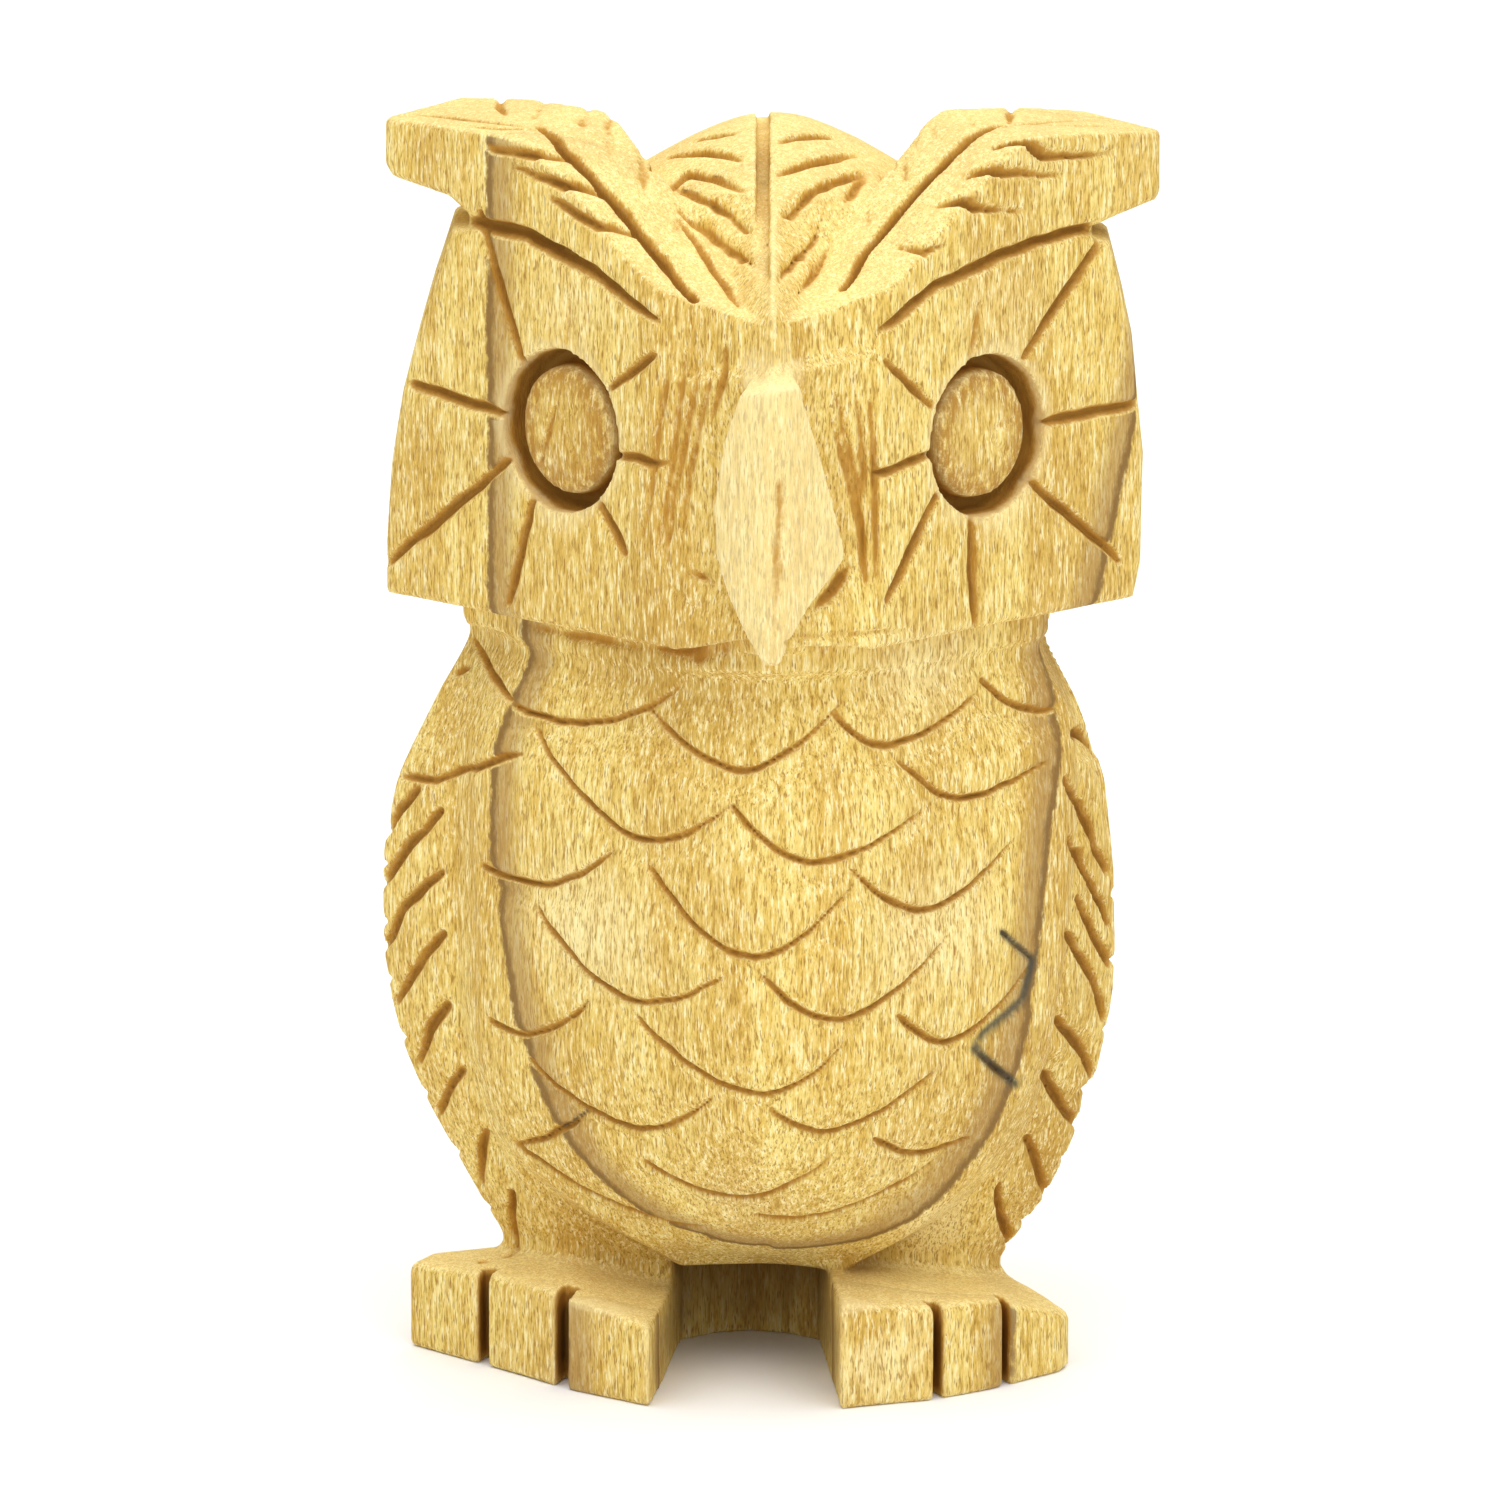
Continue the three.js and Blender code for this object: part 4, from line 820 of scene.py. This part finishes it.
def wings(wood, uncut):
    for side in BOTH:
        drawn = [outwards(line) for line in WING_CUTS[side]]
        carve_drawn(wood, uncut, from_front, drawn, *WING_CUT_SIZE[side], 0.85)
        for low in BACK_BARBS_AT[side]:
            line = []
            for share, z in stretch((1.03, low - 1.6), (0.72, low + 5.5), 4):
                x = side * along(WING_EDGE[side], z) * share
                line.append(((x, back_depth(share, z), z), (side, 1, 0)))
            carve(wood, line, 1.4, 1.1, 0.7)
    carve_drawn(wood, uncut, from_front, SHOULDER_CUTS, 1.0, 0.9, 0.45)


TOE_CUTS = {
    LEFT: [(-23, -7.2, 1.1), (-16.5, -13.6, 1.3)],
    RIGHT: [(13.1, -17.6, 0.9), (18.6, -13.6, 0.8)],
}
TOE_CUT_LENGTH = 4.8
TOE_CUT_TURN = {LEFT: -math.pi / 10, RIGHT: math.pi / 8}


def toes(wood):
    for side in BOTH:
        c, s = math.cos(TOE_CUT_TURN[side]), math.sin(TOE_CUT_TURN[side])
        for x0, y0, width in TOE_CUTS[side]:
            box = window([(x0 - 3, y0 - 3, 0), (x0 + 3, y0 + 3, 11)], 1)
            dx, dy = X[box[0]] + 0.3 * WARP[0][box] - x0, Y[:, box[1]] - y0
            across = np.abs(dx * c + dy * s) - width / 2
            deep = np.abs(dy * c - dx * s) - TOE_CUT_LENGTH / 2
            wood[box] = both(wood[box], -np.maximum(across, deep), 0.25)


# The whole carving
UNEVEN = unevenness(3, 5.0)
WARP = [0.16 * unevenness(seed, 5.5) + 0.16 * unevenness(seed + 10, 1.0) for seed in (21, 22, 23)]


def mass():
    base = join(core(), join(join(foot(LEFT), foot(RIGHT)), tail(), 0.8), 2.2)
    base = both(base, -gap(), 0.3)
    body = join(base, breast(), 0.35)
    return join(join(body, chin(), 1.8), head(), 0.3)


def carving():
    wood = mass() + 0.07 * UNEVEN + 0.03 * unevenness(4, (1.2, 1.2, 3.0))
    for side in BOTH:
        round_cut(wood, side, EYE_DISC, 0.15)
    middle_cut(wood)
    hollows(wood)
    uncut = wood.copy()
    eyes(wood)
    brows(wood, uncut)
    beside_beak(wood, uncut)
    feathers(wood)
    wings(wood, uncut)
    toes(wood)
    return np.maximum(wood, -Z), uncut


def surface(wood):
    grid = openvdb.FloatGrid(3.0)
    grid.copyFromArray(np.clip(wood, -3, 3))
    points, triangles, quads = grid.convertToPolygons()
    faces = np.concatenate([quads[:, [0, 1, 2]], quads[:, [0, 2, 3]], triangles])
    return points * VOXEL + LOW, faces[:, ::-1]


def largest_shell(points, faces):
    """The triangles of the largest shell alone, without crumbs."""
    label = np.arange(len(points))
    ends = (faces.ravel(), np.roll(faces, 1, axis=1).ravel())
    while True:
        low = np.minimum(label[ends[0]], label[ends[1]])
        lower = label.copy()
        for end in ends:
            np.minimum.at(lower, label[end], low)
            np.minimum.at(lower, end, low)
        lower = lower[lower]
        if np.array_equal(lower, label):
            break
        label = lower
    kept = faces[label[faces[:, 0]] == np.bincount(label[faces[:, 0]]).argmax()]
    used, renumbered = np.unique(kept, return_inverse=True)
    return points[used], renumbered.reshape(-1, 3)


def placed(name, data):
    """A new object in the scene, with this mesh, light or camera."""
    piece = bpy.data.objects.new(name, data)
    bpy.context.collection.objects.link(piece)
    return piece


def mesh_object(name, points, faces):
    mesh = bpy.data.meshes.new(name)
    mesh.from_pydata((points * MM).tolist(), [], faces.tolist(), shade_flat=False)
    mesh.validate()
    return placed(name, mesh)


def thinned(piece):
    """Collapses the flattest triangles until TRIANGLES are left."""
    modifier = piece.modifiers.new("fewer", "DECIMATE")
    modifier.ratio = min(1, TRIANGLES / len(piece.data.polygons))
    shown = piece.evaluated_get(bpy.context.evaluated_depsgraph_get())
    piece.data = bpy.data.meshes.new_from_object(shown)
    piece.modifiers.clear()
    return piece


def sampled(field, points):
    """The field at each point, between its voxels."""
    place = np.clip((points - LOW) / VOXEL, 0, np.array(COUNT) - 1.001)
    cell = place.astype(int)
    f = (place - cell).astype(np.float32)
    total = np.zeros(len(points), np.float32)
    for corner in range(8):
        step = np.array([corner >> 2 & 1, corner >> 1 & 1, corner & 1])
        weight = np.prod(np.where(step, f, 1 - f), axis=1)
        at = cell + step
        total += weight * field[at[:, 0], at[:, 1], at[:, 2]]
    return total


def blurred(field, radius):
    """Mean over a box, three times, which comes close to a round blur."""
    reach = max(1, int(round(radius / VOXEL)))
    for axis in (0, 1, 2):
        total = np.cumsum(np.pad(field, [(reach + 1, reach) if k == axis else (0, 0) for k in range(3)],
                                 mode="edge"), axis=axis, dtype=np.float32)
        size = field.shape[axis]
        ahead = np.take(total, np.arange(2 * reach + 1, 2 * reach + 1 + size), axis=axis)
        field = (ahead - np.take(total, np.arange(size), axis=axis)) / (2 * reach + 1)
    return field


def beak_share(points):
    x, y, z = points.T
    t, _ = face_place(1, np.abs(x), y)
    edge = of_side(BEAK_EDGE, x, z, 0.4)
    reach = np.maximum(edge + 0.3 - t, np.where(z > 82.4, 2.6 - np.abs(x), -1))
    inside = np.clip(reach / 0.5, 0, 1) * (y < -20)
    return inside * np.clip((z - 61) / 0.8, 0, 1) * np.clip((85 - z) / 0.5, 0, 1)


# Creases stained blue-black: (x, z) points and half width
INK = [(CREASES[0], 0.25), (STAIN, 0.32), (CREASES[1], 0.35), ([(-16.4, 20.7), (-14.5, 22.6)], 0.12)]


def ink_share(points):
    x, y, z = points.T
    share = np.zeros(len(points), np.float32)
    for line, half in INK:
        for (x0, z0), (x1, z1) in zip(line, line[1:]):
            dx, dz = x1 - x0, z1 - z0
            s = np.clip(((x - x0) * dx + (z - z0) * dz) / (dx * dx + dz * dz), 0, 1)
            far = np.hypot(x - x0 - s * dx, z - z0 - s * dz)
            share = np.maximum(share, np.clip(1.5 - far / half, 0, 1))
    return share * (y < -5)


# Soft patches on the front: (x, z, radius, share), golden brown above 0 and pale below.
# Most are the wood's own tone. Painted shade: those under the face and beak at (-9.5, 59.1), (0, 61.5) and
# (22, 55), those in the creases where the legs meet the feet and belly, and those in the saw cut.
# Painted light: the pale one on the right of the neck at (11.5, 58.7).
PATCHES = [
    (-14.3, 37.7, 6, -0.8), (13.1, 38, 6, -0.7), (11.5, 58.7, 5, -0.7), (-9.5, 59.1, 6, 0.9),
    (13, 11.5, 4, -0.9), (-8.7, 68.3, 4, 0.5), (-26.1, 73.7, 5, 0.5), (-1.8, 54.2, 5, 0.4),
    (-1.8, 39.5, 5, 0.4), (-15.7, 87.1, 5, -0.5), (17.7, 86.3, 6, -0.4), (24.5, 28.8, 5, 0.6),
    (-27.6, 33, 4, 0.4), (-15.8, 76.3, 5, 0.7), (-21, 57, 4, 0.5), (18.3, 27, 2.6, 1.0),
    (16.8, 21.5, 3.5, 0.8), (-3, 16, 5, -0.4), (10, 20, 4, -0.4), (22, 55, 3, 0.8),
    (-14, 11, 3, 0.5), (-7.6, 8.6, 2, 1.0), (7, 8.6, 2.4, 1.0), (18, 7.5, 3, 0.6),
    (-13, 7, 3, 0.5), (0, 61.5, 4, 0.4), (8.5, 3.5, 4, -0.8), (26, 38, 5, 0.6),
    (24.5, 20, 4, 0.7), (21.5, 14, 4, 0.8), (25, 46, 4, 0.4),
    (MIDDLE_CUT_X, 91, 0.9, 1.0), (MIDDLE_CUT_X, 94, 0.9, 1.0), (MIDDLE_CUT_X, 97, 0.9, 0.7),
]


def patches(points):
    x, y, z = points.T
    total = np.zeros(len(points))
    for patch_x, patch_z, radius, share in PATCHES:
        total += share * np.exp(-((x - patch_x) ** 2 + (z - patch_z) ** 2) / radius ** 2)
    return np.clip(total, -1, 1) * (y < 4)


def disc_rims(points):
    """How near each point is to the rim of an eye's disc, for the painted shade on the disc's sloping edge.
    """
    disc_rim_shade = np.zeros(len(points), np.float32)
    for side in BOTH:
        t, u = face_place(side, points[:, 0], points[:, 1])
        radius = np.hypot(t - EYES[side][0], points[:, 2] - EYES[side][1])
        rim = np.clip((radius - 1.8) / 2.4, 0, 1) * np.clip((5.1 - radius) / 0.3, 0, 1)
        disc_rim_shade = np.maximum(disc_rim_shade, rim * (u < 4))
    return disc_rim_shade


def build_owl():
    """The carving as a mesh, with what its material needs to know at each point."""
    wood, uncut = carving()
    points, faces = largest_shell(*surface(wood))
    owl = thinned(mesh_object("owl_carving", points, faces))
    mesh = owl.data
    places = np.empty(3 * len(mesh.vertices), np.float32)
    mesh.vertices.foreach_get("co", places)
    places = places.reshape(-1, 3) / MM
    # These fields carry painted shade: in cuts by their depth, in concave spots (hollow) and in wide
    # hollows (deep), and a painted highlight on convex edges, where hollow is below 0
    close = blurred(np.clip(wood, -2, 2), 0.9)
    wide = blurred(np.clip(wood, -4, 4), 2.4)
    # Painted shade under the belly, in the gap between the feet
    under = -outline_distance(GAP, places[:, 0], places[:, 1]) + 0.8
    under = np.clip(under, 0, 1) * np.clip(BELLY_BOTTOM + 0.6 - places[:, 2], 0, 1)
    shares = {
        "cut": np.clip(-sampled(uncut, places), 0, 3),
        "hollow": np.clip(-sampled(close, places) * 2.0, -1, 1),
        "deep": np.clip(-sampled(wide, places) * 0.8, -1, 1) + 1.4 * under,
        "beak": beak_share(places), "ink": ink_share(places),
        "patch": patches(places), "disc_rim_shade": disc_rims(places),
    }
    for name, values in shares.items():
        attribute = mesh.attributes.new(name, "FLOAT", "POINT")
        attribute.data.foreach_set("value", values.astype(np.float32))
    mesh.shade_smooth()
    return owl


# Material nodes
def node(tree, kind, settings=None, **inputs):
    """A new node; each input is a socket or a value, by name or as i and its number."""
    made = tree.nodes.new(kind)
    for key, value in (settings or {}).items():
        setattr(made, key, value)
    for key, value in inputs.items():
        name = key.replace("_", " ")
        socket = made.inputs[int(key[1:])] if key[0] == "i" and key[1:].isdigit() else made.inputs[name]
        if isinstance(value, bpy.types.NodeSocket):
            tree.links.new(value, socket)
        else:
            socket.default_value = value
    return made


def mathed(tree, operation, a, b):
    return node(tree, "ShaderNodeMath", {"operation": operation}, i0=a, i1=b).outputs[0]


def times(tree, a, b):
    return mathed(tree, "MULTIPLY", a, b)


def ragged(tree, value, fuzz, amount):
    """The value moved up and down by the fuzz."""
    return mathed(tree, "ADD", value, times(tree, mathed(tree, "SUBTRACT", fuzz, 0.5), amount))


def mapped(tree, value, low, high, to_low=0.0, to_high=1.0, smooth=True):
    return node(
        tree, "ShaderNodeMapRange", {"interpolation_type": "SMOOTHSTEP" if smooth else "LINEAR"},
        Value=value, From_Min=low, From_Max=high, To_Min=to_low, To_Max=to_high,
    ).outputs[0]


def mixed(tree, share, a, b):
    return node(tree, "ShaderNodeMix", {"data_type": "RGBA"}, i0=share, i6=a, i7=b).outputs[2]


def noise(tree, grain, upright_rate, scale, detail, rough, seed):
    """Noise that changes more slowly up the block than across it, by the upright rate."""
    return node(
        tree, "ShaderNodeTexNoise", {"noise_dimensions": "4D"}, W=seed, Scale=scale, Detail=detail,
        Roughness=rough, Vector=scaled(tree, grain, (1, 1, upright_rate)),
    ).outputs["Fac"]


def layered(tree, tone, layers):
    """Lays each tint over the tone by its source, from nothing at low to its share at high."""
    for source, low, high, share, tint in layers:
        tone = mixed(tree, mapped(tree, source, low, high, 0, share), tone, colour(*tint))
    return tone


def scaled(tree, vector, rates):
    return node(tree, "ShaderNodeVectorMath", {"operation": "MULTIPLY"}, i0=vector, i1=rates).outputs[0]


def colour(red, green, blue):
    return (red, green, blue, 1.0)


def wood_material():
    material = bpy.data.materials.new("carved_wood")
    material.use_nodes = True
    tree = material.node_tree
    tree.nodes.clear()
    place = node(tree, "ShaderNodeTexCoord").outputs["Object"]
    grain = scaled(tree, place, (1 / MM, 1 / MM, 1 / MM))  # millimetres
    attribute = {
        name: node(tree, "ShaderNodeAttribute", {"attribute_name": name}).outputs["Fac"]
        for name in ("cut", "hollow", "deep", "beak", "ink", "patch", "disc_rim_shade")
    }
    split = node(tree, "ShaderNodeSeparateXYZ", Vector=grain)
    x, y, z = split.outputs

    # Long fibres run up the block, so one solid pattern gives streaks on upright faces and
    # specks where a cut crosses the grain.
    fibre = noise(tree, grain, 0.14, 4.4, 3, 0.7, 1.0)
    strand = noise(tree, grain, 0.06, 1.3, 2, 0.6, 2.0)
    streak = noise(tree, grain, 0.04, 0.42, 2, 0.6, 6.0)
    broad = noise(tree, grain, 0.3, 0.12, 3, 0.55, 3.0)
    pores = noise(tree, grain, 0.16, 7.0, 1, 0.5, 4.0)
    fuzz = noise(tree, grain, 0.6, 1.8, 4, 0.65, 5.0)

    # Tints over one another: (source, low, high, share, tint)
    # The patches are partly the wood's tone and partly painted shade and painted light, as listed at
    # PATCHES
    patch = ragged(tree, attribute["patch"], fuzz, 0.5)
    tone = mixed(tree, mapped(tree, strand, 0.36, 0.66), colour(0.88, 0.69, 0.22), colour(0.77, 0.53, 0.12))
    tone = layered(tree, tone, [
        (streak, 0.42, 0.68, 0.4, (0.66, 0.38, 0.06)), (broad, 0.46, 0.64, 0.6, (0.62, 0.37, 0.07)),
        (patch, 0.1, 1, 0.7, (0.52, 0.29, 0.045)), (patch, -0.1, -1, 0.7, (0.98, 0.84, 0.42)),
        (fibre, 0.50, 0.64, 0.8, (0.98, 0.88, 0.48)), (fibre, 0.49, 0.36, 0.8, (0.46, 0.27, 0.05)),
        (pores, 0.55, 0.68, 0.75, (0.34, 0.16, 0.025)),
    ])

    # Upward faces cut across the grain and are painted paler: partly the paler end grain, partly painted
    # light from above
    normal = node(tree, "ShaderNodeNewGeometry").outputs["Normal"]
    upward = node(tree, "ShaderNodeSeparateXYZ", Vector=normal).outputs[2]
    tone = layered(tree, tone, [(upward, 0.3, 0.9, 0.4, (0.95, 0.78, 0.36))])

    # The grey-mauve sheet between two years' growth crosses the block from side to side
    lean_left = mapped(tree, z, 4, 42, -14.3, -8.6, smooth=False)
    lean_low = mapped(tree, z, 4, 45, -13.0, -8.8, smooth=False)
    lean_right = mathed(tree, "ADD", lean_low, mapped(tree, z, 45, 100, 0, 12, smooth=False))
    from_left = times(tree, mapped(tree, x, -0.5, 0.5), mathed(tree, "SUBTRACT", lean_right, lean_left))
    sheet = mathed(tree, "ADD", lean_left, from_left)
    before = ragged(tree, mathed(tree, "SUBTRACT", sheet, y), fuzz, 0.9)
    line = times(tree, mapped(tree, before, -0.2, 0.1), mapped(tree, before, 0.25, 0.8, 0.85, 0))
    shade = times(tree, mapped(tree, before, -0.2, 0.2), mapped(tree, before, 1.0, 3.0, 0.68, 0))
    facing = mapped(tree, upward, 0.25, 0.6, 1, 0.12)
    tone = mixed(tree, times(tree, shade, facing), tone, colour(0.40, 0.235, 0.08))
    tone = mixed(tree, times(tree, line, facing), tone, colour(0.22, 0.115, 0.03))

    # The beak is painted paler: partly its paler wood, partly painted light on this most forward part
    tone = mixed(tree, times(tree, attribute["beak"], 0.4), tone, colour(0.98, 0.84, 0.46))
    # Painted shade: cuts darker the deeper they go, concave spots browner, wide hollows and the gap between
    # the feet dark; convex edges get a painted highlight
    cut, hollow, deep = ragged(tree, attribute["cut"], fuzz, 0.5), attribute["hollow"], attribute["deep"]
    tone = layered(tree, tone, [
        (cut, 0.05, 0.35, 0.85, (0.50, 0.24, 0.03)), (cut, 0.3, 0.8, 0.85, (0.26, 0.11, 0.013)),
        (cut, 0.9, 1.9, 0.9, (0.09, 0.042, 0.01)), (hollow, 0.12, 0.7, 0.5, (0.50, 0.26, 0.04)),
        (deep, 0.3, 1.6, 0.85, (0.20, 0.10, 0.02)), (hollow, -0.2, -0.8, 0.3, (0.97, 0.84, 0.46)),
    ])
    # Painted shade, broken into patches, on the sloping rims of the eyes' discs
    disc_rim_shade = times(tree, attribute["disc_rim_shade"], mapped(tree, fuzz, 0.36, 0.56))
    tone = mixed(tree, times(tree, disc_rim_shade, 0.85), tone, colour(0.42, 0.20, 0.03))
    tone = mixed(tree, times(tree, attribute["ink"], 0.85), tone, colour(0.06, 0.065, 0.05))

    relief = mathed(tree, "ADD", times(tree, fibre, 0.8), times(tree, pores, -0.4))
    relief = mathed(tree, "ADD", relief, times(tree, fuzz, 0.5))
    bump = node(tree, "ShaderNodeBump", Height=relief, Strength=0.55, Distance=0.00025)
    shader = node(
        tree, "ShaderNodeBsdfPrincipled", Base_Color=tone, Normal=bump.outputs[0],
        Roughness=mapped(tree, fibre, 0.2, 0.8, 0.65, 0.85), Specular_IOR_Level=0.15,
    )
    output = node(tree, "ShaderNodeOutputMaterial")
    tree.links.new(shader.outputs[0], output.inputs["Surface"])
    return material


# Floor, light and camera
def plain_material(name, tone):
    material = bpy.data.materials.new(name)
    material.use_nodes = True
    shader = material.node_tree.nodes["Principled BSDF"]
    shader.inputs["Base Color"].default_value = tone
    shader.inputs["Roughness"].default_value = 0.9
    return material


def floor(half=3.0):
    corners = [(-half, -half, 0), (half, -half, 0), (half, half, 0), (-half, half, 0)]
    mesh = bpy.data.meshes.new("floor")
    mesh.from_pydata(corners, [], [(0, 1, 2, 3)])
    mesh.materials.append(plain_material("pale_floor", colour(0.93, 0.93, 0.93)))
    placed("floor", mesh)


def area_light(name, place, aim, size, power):
    data = bpy.data.lights.new(name, "AREA")
    data.size = size
    data.energy = power
    lamp = placed(name, data)
    lamp.location = place
    lamp.rotation_euler = (Vector(aim) - Vector(place)).to_track_quat("-Z", "Y").to_euler()


def studio():
    world = bpy.data.worlds.new("studio")
    world.use_nodes = True
    background = world.node_tree.nodes["Background"].inputs
    background["Color"].default_value = colour(1, 1, 1)
    background["Strength"].default_value = 0.12
    bpy.context.scene.world = world
    area_light("overhead", (0.1, 0.15, 1.5), (0.05, 0.1, 0), 3.2, 62.0)
    area_light("right", (0.5, -0.75, 0.5), (0, 0, 0.05), 0.8, 2.8)
    area_light("left", (-0.55, -0.7, 0.5), (0, 0, 0.05), 0.8, 2.4)
    bpy.context.scene.view_settings.view_transform = "Standard"


CAMERA_PLACE = (-0.00175, -0.9781, 0.2565)
CAMERA_PITCH = 12
CAMERA_LENS = 302.4


def camera():
    data = bpy.data.cameras.new("camera")
    data.lens = CAMERA_LENS
    data.sensor_width = 36
    data.clip_start = 0.05
    data.clip_end = 20
    view = placed("camera", data)
    view.location = CAMERA_PLACE
    view.rotation_euler = (math.radians(90 - CAMERA_PITCH), 0, 0)
    bpy.context.scene.camera = view


camera()
studio()
floor()
owl = build_owl()
owl.data.materials.clear()
owl.data.materials.append(wood_material())
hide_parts("owl")
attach(owl, "root")
